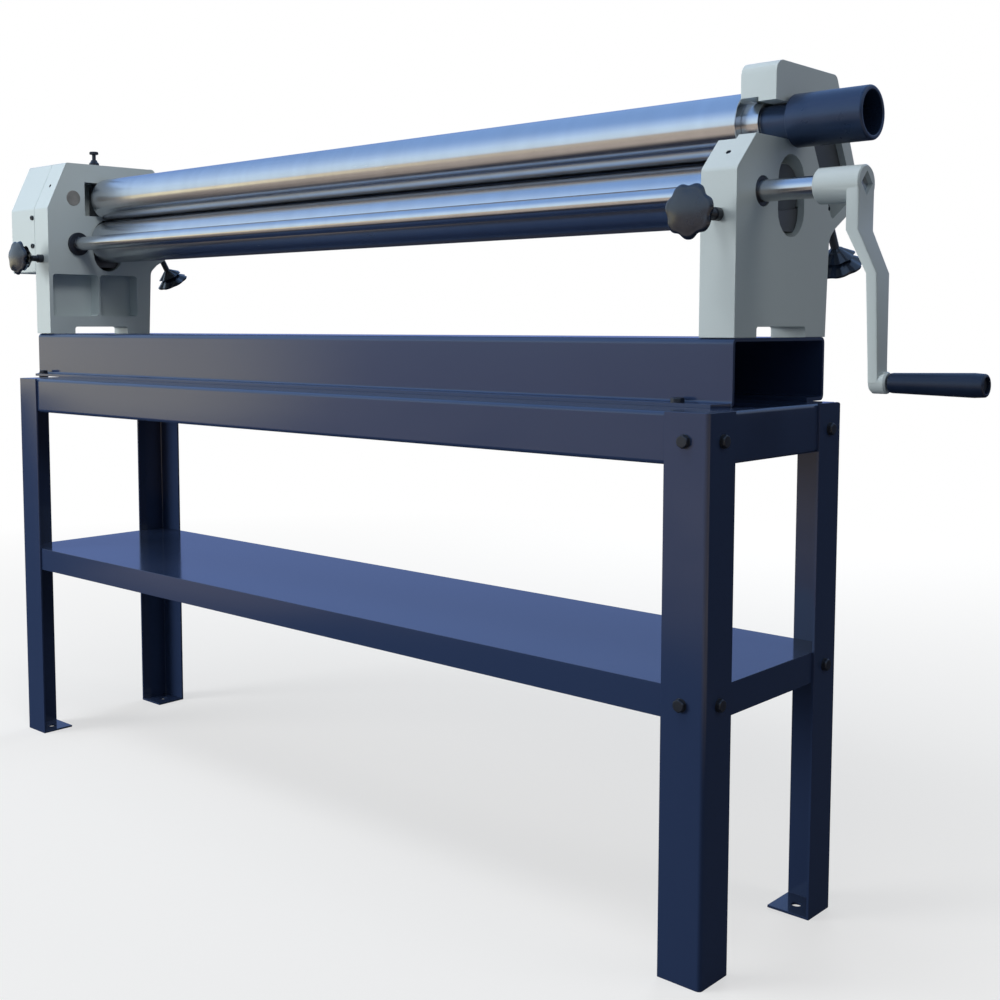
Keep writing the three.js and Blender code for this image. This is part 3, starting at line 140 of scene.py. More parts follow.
class SlipRollColours(bpy.types.PropertyGroup):
    stand: colour("Stand paint", "Gloss paint of stand and base", (0.022, 0.040, 0.100))
    casting: colour("Casting paint", "Paint of housings, cover and crank", (0.52, 0.60, 0.62))
    steel: colour("Polished steel", "Rolls and crank shaft", (0.56, 0.57, 0.59))
    ground: colour("Ground steel", "Pins and wedges", (0.105, 0.112, 0.12))
    black_steel: colour("Blackened steel", "Bolts, bushes and stems", (0.014, 0.017, 0.024))
    blued_steel: colour("Blued steel", "Sleeve on the neck of the upper roll", (0.018, 0.036, 0.082))
    iron: colour("Cast iron", "Blocks and gears", (0.038, 0.044, 0.050))
    plastic: colour("Black plastic", "Knobs", (0.005, 0.009, 0.019))


class SlipRollStudio(bpy.types.PropertyGroup):
    floor: colour("Floor", "Pale floor round the stand", (0.86, 0.87, 0.88))
    bounce: colour("Floor bounce", "Light that the floor gives back", (0.22, 0.23, 0.25))
    # Painted light that only metal sees on the floor: the near floor is painted shade round the stand, the far
    # floor a warm floor in painted sunlight
    near: colour("Near floor", "Floor near the stand as metal mirrors it", (0.035, 0.04, 0.06))
    horizon: colour("Far floor", "Far floor as metal mirrors it", (0.62, 0.53, 0.46))
    key_power: power("Key lamp", "Power of the lamp at the front left", 119.0)
    side_power: power("Side lamp", "Power of the lamp at the crank end", 7.0)
    top_power: power("Top lamp", "Power of the lamp overhead", 6.0)
    back_power: power("Back lamp", "Power of the lamp behind the machine", 45.0)
    fill_power: power("Fill lamp", "Power of the lamp that faces the left housing", 9.0)
    sky: FloatProperty(name="Room light", description="Strength of the even room light", default=0.6, min=0)


# Node groups shared by several materials

class Nodes:
    """Short way to place and join nodes of one tree."""

    def __init__(self, tree):
        self.tree = tree

    def add(self, kind, values=None, **settings):
        node = self.tree.nodes.new(kind)
        for key, value in settings.items():
            setattr(node, key, value)
        for key, value in (values or {}).items():
            socket = node.inputs[key]
            if isinstance(value, bpy.types.NodeSocket):
                self.tree.links.new(value, socket)
            else:
                socket.default_value = value
        return node

    def maths(self, operation, *values):
        return self.add("ShaderNodeMath", dict(enumerate(values)), operation=operation).outputs[0]

    def noise(self, vector, scale, detail, roughness=0.5):
        values = {"Vector": vector, "Scale": scale, "Detail": detail, "Roughness": roughness}
        return self.add("ShaderNodeTexNoise", values).outputs["Fac"]

    def drawn_noise(self, vector, scale, detail, roughness):
        """Noise drawn out along the axes where its scale is small."""
        vector = self.add("ShaderNodeMapping", {"Vector": vector, "Scale": scale}).outputs[0]
        return self.noise(vector, 1.0, detail, roughness)

    def bump(self, height, strength, distance, **under):
        values = {"Height": height, "Strength": strength, "Distance": distance, **under}
        return self.add("ShaderNodeBump", values).outputs[0]

    def spread(self, value, low, high, to_low=0.0, to_high=1.0):
        return self.add("ShaderNodeMapRange", {0: value, 1: low, 2: high, 3: to_low, 4: to_high}).outputs[0]

    def ramp(self, value, stops):
        """Colour by height: stops are (place, colour), colours may pass 1."""
        tone = stops[0][1]
        for (low, _), (high, colour_above) in zip(stops, stops[1:]):
            tone = self.mixed(self.spread(value, low, high), tone, colour_above)
        return tone

    def mixed(self, factor, first, second):
        node = self.add("ShaderNodeMix", {"Factor": factor}, data_type="RGBA")
        for socket, value in ((node.inputs[6], first), (node.inputs[7], second)):
            if isinstance(value, bpy.types.NodeSocket):
                self.tree.links.new(value, socket)
            else:
                socket.default_value = (*value, 1.0)[:4]
        return node.outputs[2]


def group(name, inputs, outputs, build):
    """A shader node group: inputs and outputs are (name, kind, default), and build gives one socket for
    each output."""
    tree = bpy.data.node_groups.new(name, "ShaderNodeTree")
    for socket_name, kind, default in inputs:
        socket = tree.interface.new_socket(name=socket_name, in_out="INPUT", socket_type=kind)
        if default is not None:
            socket.default_value = default
    for socket_name, kind in outputs:
        tree.interface.new_socket(name=socket_name, in_out="OUTPUT", socket_type=kind)
    n = Nodes(tree)
    source = n.add("NodeGroupInput")
    sink = n.add("NodeGroupOutput")
    for socket, value in zip(sink.inputs, build(n, source.outputs)):
        tree.links.new(value, socket)
    return tree


FLOAT, COLOR = "NodeSocketFloat", "NodeSocketColor"


def object_place(n):
    return n.add("ShaderNodeTexCoord").outputs["Object"]


def build_paint_film(n, source):
    """Sprayed film: slow colour drift, fine orange peel and faint dust on faces that look up."""
    spot = object_place(n)
    drift = n.spread(n.noise(spot, 3.2, 3), 0.3, 0.7)
    peel = n.noise(spot, source["Peel scale"], 2, 0.4)
    cloud = n.noise(spot, 14.0, 4, 0.6)
    up = n.add("ShaderNodeSeparateXYZ", {0: n.add("ShaderNodeNewGeometry").outputs["Normal"]}).outputs["Z"]
    dust = n.maths("MULTIPLY", n.spread(up, 0.6, 1.0), n.spread(cloud, 0.42, 0.75, 0.0, 1.0))
    dust = n.maths("MULTIPLY", dust, source["Dust"])
    shade = n.mixed(n.maths("MULTIPLY", drift, source["Drift"]), source["Colour"], source["Drift colour"])
    shade = n.mixed(dust, shade, (0.34, 0.34, 0.36))
    rough = n.maths("ADD", n.maths("MULTIPLY", cloud, 0.05), n.maths("MULTIPLY", dust, 0.5))
    return shade, n.maths("ADD", source["Roughness"], rough), peel


def build_cast_skin(n, source):
    """Sand-cast surface under paint: broad waviness, grains and a few pits."""
    spot = object_place(n)
    waves = n.noise(spot, 42.0, 2, 0.5)
    grain = n.noise(spot, 420.0, 3, 0.6)
    cells = n.add("ShaderNodeTexVoronoi", {"Vector": spot, "Scale": 160.0}).outputs["Distance"]
    pits = n.spread(cells, 0.0, 0.16, 0.0, 1.0)
    height = n.maths("ADD", n.maths("MULTIPLY", waves, 0.55), n.maths("MULTIPLY", grain, 0.28))
    height = n.maths("ADD", height, n.maths("MULTIPLY", pits, 0.2))
    return height, n.spread(n.noise(spot, 6.0, 4, 0.6), 0.35, 0.68)


def build_turned_steel(n, source):
    """Turned steel: rings round the X axis, fine scratches and soft tint left by oil."""
    spot = object_place(n)
    rings = n.drawn_noise(spot, (1500.0, 6.0, 6.0), 2, 0.5)
    bands = n.drawn_noise(spot, (36.0, 1.5, 1.5), 3, 0.6)
    long_marks = n.drawn_noise(spot, (9.0, 320.0, 320.0), 2, 0.6)
    oil = n.spread(n.noise(spot, 5.0, 4, 0.62), 0.44, 0.72)
    tint = n.mixed(n.maths("MULTIPLY", oil, source["Oil"]), source["Colour"], source["Oil colour"])
    tint = n.mixed(n.spread(bands, 0.3, 0.7, 0.0, 0.10), tint, (0.25, 0.25, 0.27))
    marks = n.spread(long_marks, 0.62, 0.74)
    rough = n.maths("ADD", n.maths("MULTIPLY", oil, 0.04), n.maths("MULTIPLY", bands, 0.04))
    rough = n.maths("ADD", n.maths("ADD", rough, n.maths("MULTIPLY", marks, 0.05)), source["Roughness"])
    height = n.maths("ADD", n.maths("MULTIPLY", rings, 0.8), n.maths("MULTIPLY", marks, 0.2))
    return tint, rough, height


def build_mottle(n, source):
    """Uneven finish of oxide or moulded plastic: clouds of tone and a fine grain."""
    spot = object_place(n)
    clouds = n.noise(spot, 26.0, 4, 0.6)
    grain = n.noise(spot, source["Grain scale"], 2, 0.55)
    shade = n.mixed(n.spread(clouds, 0.35, 0.7), source["Colour"], source["Second colour"])
    return shade, n.maths("ADD", source["Roughness"], n.spread(clouds, 0.3, 0.7, -0.05, 0.07)), grain


GROUP_OUT = [("Colour", COLOR), ("Roughness", FLOAT), ("Height", FLOAT)]


def node_groups():
    grey = (0.5, 0.5, 0.5, 1.0)
    paint = [("Colour", COLOR, grey), ("Drift colour", COLOR, grey), ("Drift", FLOAT, 0.3),
             ("Dust", FLOAT, 0.1), ("Roughness", FLOAT, 0.3), ("Peel scale", FLOAT, 380.0)]
    steel = [("Colour", COLOR, grey), ("Oil colour", COLOR, grey), ("Oil", FLOAT, 0.3),
             ("Roughness", FLOAT, 0.2)]
    mottle = [("Colour", COLOR, grey), ("Second colour", COLOR, grey), ("Roughness", FLOAT, 0.4),
              ("Grain scale", FLOAT, 900.0)]
    return {
        "paint": group("Paint film", paint, GROUP_OUT, build_paint_film),
        "cast": group("Cast skin", [], [("Height", FLOAT), ("Shade", FLOAT)], build_cast_skin),
        "steel": group("Turned steel", steel, GROUP_OUT, build_turned_steel),
        "mottle": group("Mottle", mottle, GROUP_OUT, build_mottle),
    }


# How far the hollows of a casting change its tone
CAST_SHADE = 0.22


def material(name, group_tree, values, bump, metallic=0.0, cast=None, rings=None, **settings):
    """One finish: the group's colour, roughness and height on a Principled shader.
    bump is (strength, distance), cast is (group, strength, distance, colour in the hollows).
    With rings round an axis, what the metal mirrors is drawn out along that axis."""
    mat = bpy.data.materials.new(name)
    mat.use_nodes = True
    mat.node_tree.nodes.clear()
    n = Nodes(mat.node_tree)
    film = n.add("ShaderNodeGroup", node_tree=group_tree)
    for key, value in values.items():
        film.inputs[key].default_value = (*value, 1.0) if isinstance(value, (tuple, list)) else value
    normal = n.bump(film.outputs["Height"], *bump)
    tone = film.outputs["Colour"]
    if cast:
        tree, strength, distance, hollow = cast
        sand = n.add("ShaderNodeGroup", node_tree=tree)
        normal = n.bump(sand.outputs["Height"], strength, distance, Normal=normal)
        tone = n.mixed(n.maths("MULTIPLY", sand.outputs["Shade"], CAST_SHADE), tone, hollow)
    surface = {"Base Color": tone, "Roughness": film.outputs["Roughness"], "Normal": normal,
               "Metallic": metallic, **settings}
    shader = n.add("ShaderNodeBsdfPrincipled", surface)
    if rings:
        turn = n.add("ShaderNodeTangent", direction_type="RADIAL", axis=rings).outputs[0]
        n.tree.links.new(turn, shader.inputs["Tangent"])
    n.add("ShaderNodeOutputMaterial", {"Surface": shader.outputs[0]})
    return mat


MATERIALS = {}


def darker(value, amount):
    return tuple(c * amount for c in value)


def make_materials(c):
    g = node_groups()
    shine = "Specular IOR Level"
    MATERIALS["stand_paint"] = material(
        "stand gloss paint", g["paint"],
        {"Colour": tuple(c.stand), "Drift colour": (0.028, 0.047, 0.108), "Drift": 0.4, "Dust": 0.02,
         "Roughness": 0.09, "Peel scale": 330.0},
        (0.05, 0.0004), **{shine: 0.5})
    MATERIALS["casting_paint"] = material(
        "casting paint", g["paint"],
        {"Colour": tuple(c.casting), "Drift colour": darker(c.casting, 0.9), "Drift": 0.5, "Dust": 0.05,
         "Roughness": 0.34, "Peel scale": 300.0},
        (0.08, 0.0006), cast=(g["cast"], 0.22, 0.0012, darker(c.casting, 0.86)),
        **{"Coat Weight": 0.15, "Coat Roughness": 0.3})
    MATERIALS["polished_steel"] = material(
        "polished steel", g["steel"],
        {"Colour": tuple(c.steel), "Oil colour": (0.56, 0.53, 0.50), "Oil": 0.35, "Roughness": 0.19},
        (0.05, 0.0002), 1.0, rings="X", **{"Anisotropic": 0.9, "Anisotropic Rotation": 0.25})
    MATERIALS["ground_steel"] = material(
        "ground steel", g["steel"],
        {"Colour": tuple(c.ground), "Oil colour": (0.055, 0.058, 0.062), "Oil": 0.5, "Roughness": 0.42},
        (0.12, 0.0003), 0.6)

    def mottled(slot, name, tone, second, rough, grain, bump, metallic=0.0, **settings):
        values = {"Colour": tuple(tone), "Second colour": second, "Roughness": rough, "Grain scale": grain}
        MATERIALS[slot] = material(name, g["mottle"], values, bump, metallic, **settings)
    mottled("blackened_steel", "blackened steel", c.black_steel, darker(c.black_steel, 1.5), 0.38, 1400.0,
            (0.10, 0.0003), 0.2)
    mottled("blued_steel", "blued steel", c.blued_steel, (0.024, 0.043, 0.094), 0.30, 1400.0,
            (0.10, 0.0003), 0.3)
    mottled("cast_iron", "machined iron", c.iron, darker(c.iron, 1.4), 0.5, 700.0, (0.2, 0.0004))
    mottled("bare_iron", "bare iron", (0.17, 0.17, 0.165), (0.29, 0.29, 0.28), 0.6, 500.0, (0.4, 0.0006))
    mottled("black_plastic", "black plastic", c.plastic, darker(c.plastic, 1.5), 0.22, 1100.0,
            (0.08, 0.0003), **{shine: 0.65})
    mottled("grip_plastic", "grip plastic", (0.007, 0.014, 0.034), (0.009, 0.018, 0.042), 0.36, 1100.0,
            (0.08, 0.0003), **{shine: 0.35})


# Surfaces

# Folds of a turned piece that stay sharp
SHARP = math.radians(32)


def clean_object(name, mesh, slot, finish=None):
    """Object at the origin with its finish, flat faces kept flat and curved ones smooth."""
    obj = bpy.data.objects.new(name, mesh)
    bpy.context.scene.collection.objects.link(obj)
    mesh.materials.clear()
    mesh.materials.append(MATERIALS[finish or slot])
    mesh.shade_smooth()
    mesh.set_sharp_from_angle(angle=SHARP)
    even = obj.modifiers.new("Even shading", "WEIGHTED_NORMAL")
    even.keep_sharp = True
    return obj


def place(obj, *nodes):
    """The piece rides with the CAD nodes it stands for."""
    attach(obj, frame["nodes"][nodes[0]]["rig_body"])
    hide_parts(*nodes)
    return obj


def skin(name, rows):
    """Mesh through a grid of points: rows x columns x 3 in millimetres from the stand, with columns closed on
    themselves. Rows that shrink to a point become a pole when doubles are merged."""
    count, around = rows.shape[:2]
    index = np.arange(count * around).reshape(count, around)
    nxt = np.roll(index, -1, axis=1)
    faces = np.stack([index[:-1], nxt[:-1], nxt[1:], index[1:]], axis=-1).reshape(-1, 4)
    mesh = bpy.data.meshes.new(name)
    mesh.from_pydata((rows.reshape(-1, 3) * MM + STAND).tolist(), [], faces.tolist())
    bm = bmesh.new()
    bm.from_mesh(mesh)
    bmesh.ops.remove_doubles(bm, verts=bm.verts, dist=2e-6)
    bmesh.ops.recalc_face_normals(bm, faces=bm.faces)
    bm.to_mesh(mesh)
    bm.free()
    return mesh


def soft(points, steps=4):
    """Profile with rounded corners: points are (station, radius, round). The arc of each corner touches both
    its sides: centre on the bisector at round / sin(half angle), swept from one touching point to the other."""
    out = []
    spots = [np.array(p[:2], float) for p in points]
    for i, p in enumerate(points):
        r = p[2] if len(p) > 2 else 0
        if not r:
            out.append(spots[i])
            continue
        to_before = spots[i - 1] - spots[i]
        to_after = spots[(i + 1) % len(points)] - spots[i]
        to_before, to_after = to_before / np.linalg.norm(to_before), to_after / np.linalg.norm(to_after)
        half = math.acos(np.clip(to_before @ to_after, -1, 1)) / 2
        start, end = spots[i] + to_before * r / math.tan(half), spots[i] + to_after * r / math.tan(half)
        bisector = (to_before + to_after) / np.linalg.norm(to_before + to_after)
        centre = spots[i] + bisector * r / math.sin(half)
        a = math.atan2(*(start - centre)[::-1])
        sweep = (math.atan2(*(end - centre)[::-1]) - a + math.pi) % (2 * math.pi) - math.pi
        for k in range(steps + 1):
            t = a + sweep * k / steps
            out.append(centre + r * np.array([math.cos(t), math.sin(t)]))
    return np.array(out)


def basis(direction):
    """Two unit vectors square to a direction and to each other."""
    d = np.array(direction, float)
    d /= np.linalg.norm(d)
    side = np.cross(d, ALONG_X if abs(d[0]) < 0.9 else ALONG_Y)
    side /= np.linalg.norm(side)
    return d, side, np.cross(d, side)


def turned(profile, origin, direction, around, shape=None):
    """Turned grid: point(s, u) = origin + t(s) d + R (cos u e1 + sin u e2), where R = r(s), or
    shape(r(s), t(s), u)."""
    d, e1, e2 = basis(direction)
    t, r = profile[:, 0][:, None], profile[:, 1][:, None]
    u = np.linspace(0, 2 * math.pi, around, endpoint=False)[None, :]
    radius = shape(r, t, u) if shape else r
    return (np.array(origin, float) + t[..., None] * d
            + (radius * np.cos(u))[..., None] * e1 + (radius * np.sin(u))[..., None] * e2)


def turned_piece(name, slot, profile, origin, direction, around, shape=None, finish=None):
    """A turned grid as an object: around is the number of steps, finish a material other than the slot's."""
    mesh = skin(name, turned(profile, origin, direction, around, shape))
    return clean_object(name, mesh, slot, finish=finish)


def sided(count, corner=1.0):
    """Shape of a regular outline: R is the lesser of r x corner and r cos(pi/n) / cos of the angle from the
    nearest flat."""
    def shape(r, t, u):
        flat = u % (2 * math.pi / count) - math.pi / count
        return np.minimum(r * corner, r * math.cos(math.pi / count) / np.cos(flat))
    return shape


# Rounding of the edges of the crank arm
CRANK_ROUND = 0.0016

# Folds that get a rounded edge, and how far off its face a ray starts that looks for open space
SHARP_FOLD, CLEAR = math.radians(28), 1e-4


def carried(name, slot, width, segments=2, small=None):
    """Copy of a CAD node with its doubles merged, its flats joined and its edges rounded.
    With a small width, only edges that face open space on the outside get the full one."""
    mesh = frame["nodes"][name].data.copy()
    mesh.name = name + "_finished"
    bm = bmesh.new()
    bm.from_mesh(mesh)
    bmesh.ops.remove_doubles(bm, verts=bm.verts, dist=1e-5)
    bmesh.ops.dissolve_limit(bm, angle_limit=math.radians(0.4), verts=bm.verts, edges=bm.edges)
    layer = bm.edges.layers.float.new("bevel_weight_edge")
    tree = BVHTree.FromBMesh(bm)
    for edge in bm.edges:
        fold = edge.calc_face_angle_signed(0)
        if len(edge.link_faces) != 2 or edge.calc_face_angle(0) < SHARP_FOLD or fold == 0:
            continue
        weight = 1.0
        if small is not None:
            spot = (edge.verts[0].co + edge.verts[1].co) / 2
            for face in edge.link_faces:
                if tree.ray_cast(spot + face.normal * CLEAR, face.normal)[0] is not None:
                    weight = small / width
            if fold < 0:
                weight = small / width
        edge[layer] = weight
    bm.to_mesh(mesh)
    bm.free()
    obj = bpy.data.objects.new(mesh.name, mesh)
    bpy.context.scene.collection.objects.link(obj)
    mesh.materials.clear()
    mesh.materials.append(MATERIALS[slot])
    mesh.shade_smooth()
    bevel = obj.modifiers.new("Edge", "BEVEL")
    bevel.width, bevel.segments, bevel.limit_method = width, segments, "WEIGHT"
    bevel.use_clamp_overlap = True
    bevel.miter_outer = "MITER_ARC"
    even = obj.modifiers.new("Even shading", "WEIGHTED_NORMAL")
    even.keep_sharp = True
    return place(obj, name)


# Operators, one for each piece or group of like pieces

class SLIPROLL_OT_stand_parts(bpy.types.Operator):
    """Legs, rails, shelf and base beam with soft sheet edges"""
    bl_idname = "slip_roll.stand_parts"
    bl_label = "Stand"

    def execute(self, context):
        s = context.scene.slip_roll_shapes
        for name in ("leg_front_right", "leg_front_left", "leg_rear_right", "leg_rear_left", "rail_front",
                     "rail_rear", "rail_right", "rail_left", "shelf", "base_beam"):
            carried(name, "stand_paint", s.sheet_round, 2)
        return {"FINISHED"}


class SLIPROLL_OT_castings(bpy.types.Operator):
    """Housings, gear cover and crank arm with cast edges"""
    bl_idname = "slip_roll.castings"
    bl_label = "Castings"

    def execute(self, context):
        s = context.scene.slip_roll_shapes
        for name in ("housing_right", "housing_left", "gear_cover"):
            carried(name, "casting_paint", s.casting_round, 3, s.bore_round)
        carried("crank_arm", "casting_paint", CRANK_ROUND, 2, s.bore_round)
        return {"FINISHED"}


# Each oiler: the node that carries it, where its ball sits, the way into the metal, and its scale
OILERS = {"right": ("housing_right", (RIGHT_MID, -24.52, 884.01), (0.0, 39.6, -38.5), 1.0),
          "left": ("housing_left", (LEFT_MID, -27.5, 946), (0.0, 82, -39.0), 1.0),
          "ear": ("housing_right", (RIGHT_OUT, ROLL_Y + 90.5, LOWER_Z - 15), (-1.0, 0.0, 0.0), 0.95)}


class SLIPROLL_OT_oilers(bpy.types.Operator):
    """Small sprung balls that close the oil holes: a cup with a ball, R = sqrt(1.7^2 - (t - 2.2)^2) on its
    middle"""
    bl_idname = "slip_roll.oilers"
    bl_label = "Oilers"

    def execute(self, context):
        ball_radius, ball_middle, cup, cup_end = 1.7, 2.2, 2.95, 6
        a = np.linspace(0, 0.6 * math.pi, 8)
        ball = np.stack([ball_middle - ball_radius * np.cos(a), ball_radius * np.sin(a)], axis=1)
        lip = soft([(2.6, 2.2), (0.35, 2.5, 0.2), (0.35, cup, 0.2), (cup_end, cup), (cup_end, 0)], 3)
        profile = np.concatenate([ball, lip])
        for name, (node, origin, way, scale) in OILERS.items():
            small = turned_piece("oiler_" + name, "blackened_steel", profile * scale, origin, way, 40)
            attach(small, frame["nodes"][node]["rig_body"])
        return {"FINISHED"}


class SLIPROLL_OT_bolts(bpy.types.Operator):
    """Hexagon heads with a washer face and a chamfered crown, and their nuts."""
    bl_idname = "slip_roll.bolts"
    bl_label = "Bolts"

    def execute(self, context):
        stand_bolt, base_bolt = (7.5, 4.0), (8.0, 4.5)
        corner_x, corner_y, face_x, face_y, base_y, base_z = 682.5, 115.0, 653.5, -143.0, -57.0, 612.0
        spots = []
        for height, z in (("rail", 578.0), ("shelf", 302.0)):
            for side, sx in (("right", 1), ("left", -1)):
                for end, sy in (("front", -1), ("rear", 1)):
                    spots.append((f"bolt_{height}_{end}_{side}", (sx * corner_x, sy * corner_y, z), (-sx, 0, 0),
                                  stand_bolt, 6.0))
            spots.append((f"bolt_{height}_face_right", (face_x, face_y, z), (0, 1, 0), stand_bolt, 6.0))
        spots.append(("base_bolt_left", (-751.0, base_y, base_z), (0, 0, -1), base_bolt, 4.0))
        spots.append(("base_bolt_right", (588.0, base_y, base_z), (0, 0, -1), base_bolt, 7.0))
        hexagon = sided(6, corner=0.97)
        crown, shoulder, washer = -5.5, -1.0, -0.9
        for name, origin, way, (across, radius), stack in spots:
            nut, nut_end, tip = stack + 6.4, stack + 6.5, stack + 8.5

            def shape(r, t, u, across=across, stack=stack, nut=nut):
                flats = ((t < washer) | ((t > stack + 0.2) & (t < nut))) & (r > across * 0.9)
                return np.where(flats, hexagon(r, t, u), r)
            profile = soft([(crown, 0), (crown, across * 0.78, 1.2), (-4.3, across, 0.5), (shoulder, across),
                            (washer, across * 0.99), (0, across * 0.99), (0, radius), (stack, radius),
                            (stack, across), (nut, across), (nut_end, across * 0.9), (nut_end, radius),
                            (tip, radius, 0.8), (tip, 0)], 3)
            place(turned_piece(name + "_head", "blackened_steel", profile, origin, way, 48, shape), name)
        return {"FINISHED"}


class SLIPROLL_OT_rolls(bpy.types.Operator):
    """Turned rolls with broken edges, and the journals and neck that carry them."""
    bl_idname = "slip_roll.rolls"
    bl_label = "Rolls"

    def execute(self, context):
        s = context.scene.slip_roll_shapes
        r, around = s.roll_radius / MM, s.around
        line = (0, ROLL_Y, UPPER_Z)
        left, right = LEFT_IN + 7, RIGHT_IN - 7
        neck, neck_end = 20.0, 704.5
        keeper_bore, bore_end = 4.3, neck_end - 22
        journal, journal_end = 13, LEFT_MID - 14
        socket, socket_end = 9.0, LEFT_MID + 12
        upper = soft([(socket_end, 0), (socket_end, socket), (journal_end, socket), (journal_end, journal, 0.5),
                      (left, journal), (left, r, 1.5), (right, r, 1.5), (right, neck), (neck_end, neck, 1.0),
                      (neck_end, keeper_bore), (bore_end, keeper_bore), (bore_end, 0)], 6)

        def six_sided_socket(r, t, u):
            inside = (t < socket_end + 0.1) & (r < socket + 0.1)
            return np.where(inside, sided(6)(r, t, u), r)
        place(turned_piece("upper_roll_turned", "polished_steel", upper, line, ALONG_X, around,
                           six_sided_socket), "upper_roll")
        start, end, under, over = right + 21.7, RIGHT_OUT + 30, neck - 1.5, neck + 0.14
        cover = soft([(start, under), (start, over, 0.3), (end, over), (end, under), (start, under)], 3)
        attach(turned_piece("neck_sleeve", "blackened_steel", cover, line, ALONG_X, around,
                             finish="blued_steel"), "upper_roll")
        bore, rim, end = neck + 0.15, 24.8, right + 21.5
        collar = soft([(right, bore), (right, rim, 0.8), (end, rim, 0.8), (end, bore), (right, bore)], 4)
        place(turned_piece("collar_turned", "polished_steel", collar, line, ALONG_X, around), "roll_collar")

        journal, left, right, bearing_end = 16, LEFT_IN + 3, RIGHT_IN - 3, RIGHT_MID + 8.5
        for node, y, z, start in (("lower_roll", ROLL_Y, LOWER_Z, -832.0),
                                  ("rear_roll", *slanted(0, 82.0)[1:], LEFT_MID - 8.5)):
            profile = soft([(start, 0), (start, journal, 0.8), (left, journal), (left, r, 1.5), (right, r, 1.5),
                            (right, journal), (bearing_end, journal, 0.8), (bearing_end, 0)], 6)
            place(turned_piece(node + "_turned", "polished_steel", profile, (0, y, z), ALONG_X, around), node)
        return {"FINISHED"}


class SLIPROLL_OT_handle(bpy.types.Operator):
    """Blackened sleeve on the neck, bored deep at its open end, and the keeper in the bore."""
    bl_idname = "slip_roll.handle"
    bl_label = "Handle"

    def execute(self, context):
        line = (0, ROLL_Y, UPPER_Z)
        left, right = RIGHT_OUT + 5, RIGHT_OUT + 95.5
        outside, mouth, bore, mouth_end = 29.5, 24.0, 20.3, right - 40
        sleeve = soft([(left, bore), (left, outside, 1.2), (right, outside, 2.6), (right, mouth, 1.2),
                       (mouth_end, mouth, 1.0), (mouth_end, bore), (left, bore)], 5)
        place(turned_piece("sleeve_turned", "blackened_steel", sleeve, line, ALONG_X, 96, finish="blued_steel"),
              "roll_handle")
        tip, washer, head_start, crown = 684.5, 705.8, 708.3, 713.8
        keeper = soft([(tip, 0), (tip, 4), (washer, 4), (washer, 22.4, 0.6), (head_start, 22.4, 0.6),
                       (head_start, 7.5), (712.8, 7.5, 1.0), (crown, 6.0, 0.6), (crown, 0)], 4)

        def head(r, t, u):
            return np.where((t > head_start + 0.1) & (r > 5.5), sided(6, corner=0.97)(r, t, u), r)
        place(turned_piece("keeper_turned", "blackened_steel", keeper, line, ALONG_X, 48, head),
              "handle_keeper")
        return {"FINISHED"}


class SLIPROLL_OT_pivot(bpy.types.Operator):
    """Pin with its knurled knob and guide on the left housing, and the plug beside the roll."""
    bl_idname = "slip_roll.pivot"
    bl_label = "Pivot"

    def execute(self, context):
        spot = (LEFT_MID, ROLL_Y - 11, 0)
        foot, seat, bore = 982, 990, 3.7
        guide = soft([(foot, bore), (foot, 6), (seat, 6), (seat, 9, 0.4), (993, 9, 0.8), (995.5, 6.4, 0.8),
                      (999, 5.2, 0.8), (999, bore), (foot, bore)], 4)
        place(turned_piece("guide_turned", "blackened_steel", guide, spot, ALONG_Z, 48), "pin_guide")
        knob, knob_top, teeth, tooth = 1008, 1014, 30, 0.22

        def knurl(r, t, u):
            return r - np.where((t > knob) & (r > 7.4), tooth * (1 + np.cos(teeth * u)), 0.0)
        pin = soft([(948.6, 0), (948.6, 3, 0.5), (956.6, 3), (956.6, 6, 0.4), (972, 6, 0.4), (972, 3.4),
                    (1008.5, 3.4), (1008.5, 4.5), (1009.5, 8, 0.5), (1013, 8, 0.8), (knob_top, 7, 0.5),
                    (knob_top, 0)], 3)
        place(turned_piece("pin_turned", "blackened_steel", pin, spot, ALONG_Z, 120, knurl), "pivot_pin")
        back, rim, face, radius = LEFT_IN - 8, LEFT_IN + 0.8, LEFT_IN + 0.5, 13.5
        plug = soft([(back, 0), (back, radius), (rim, radius, 0.6), (rim, 11.0), (face, 10.4), (face, 0)], 3)
        place(turned_piece("plug_turned", "cast_iron", plug, (0, 5, UPPER_Z), ALONG_X, 64, finish="bare_iron"),
              "housing_plug")
        return {"FINISHED"}


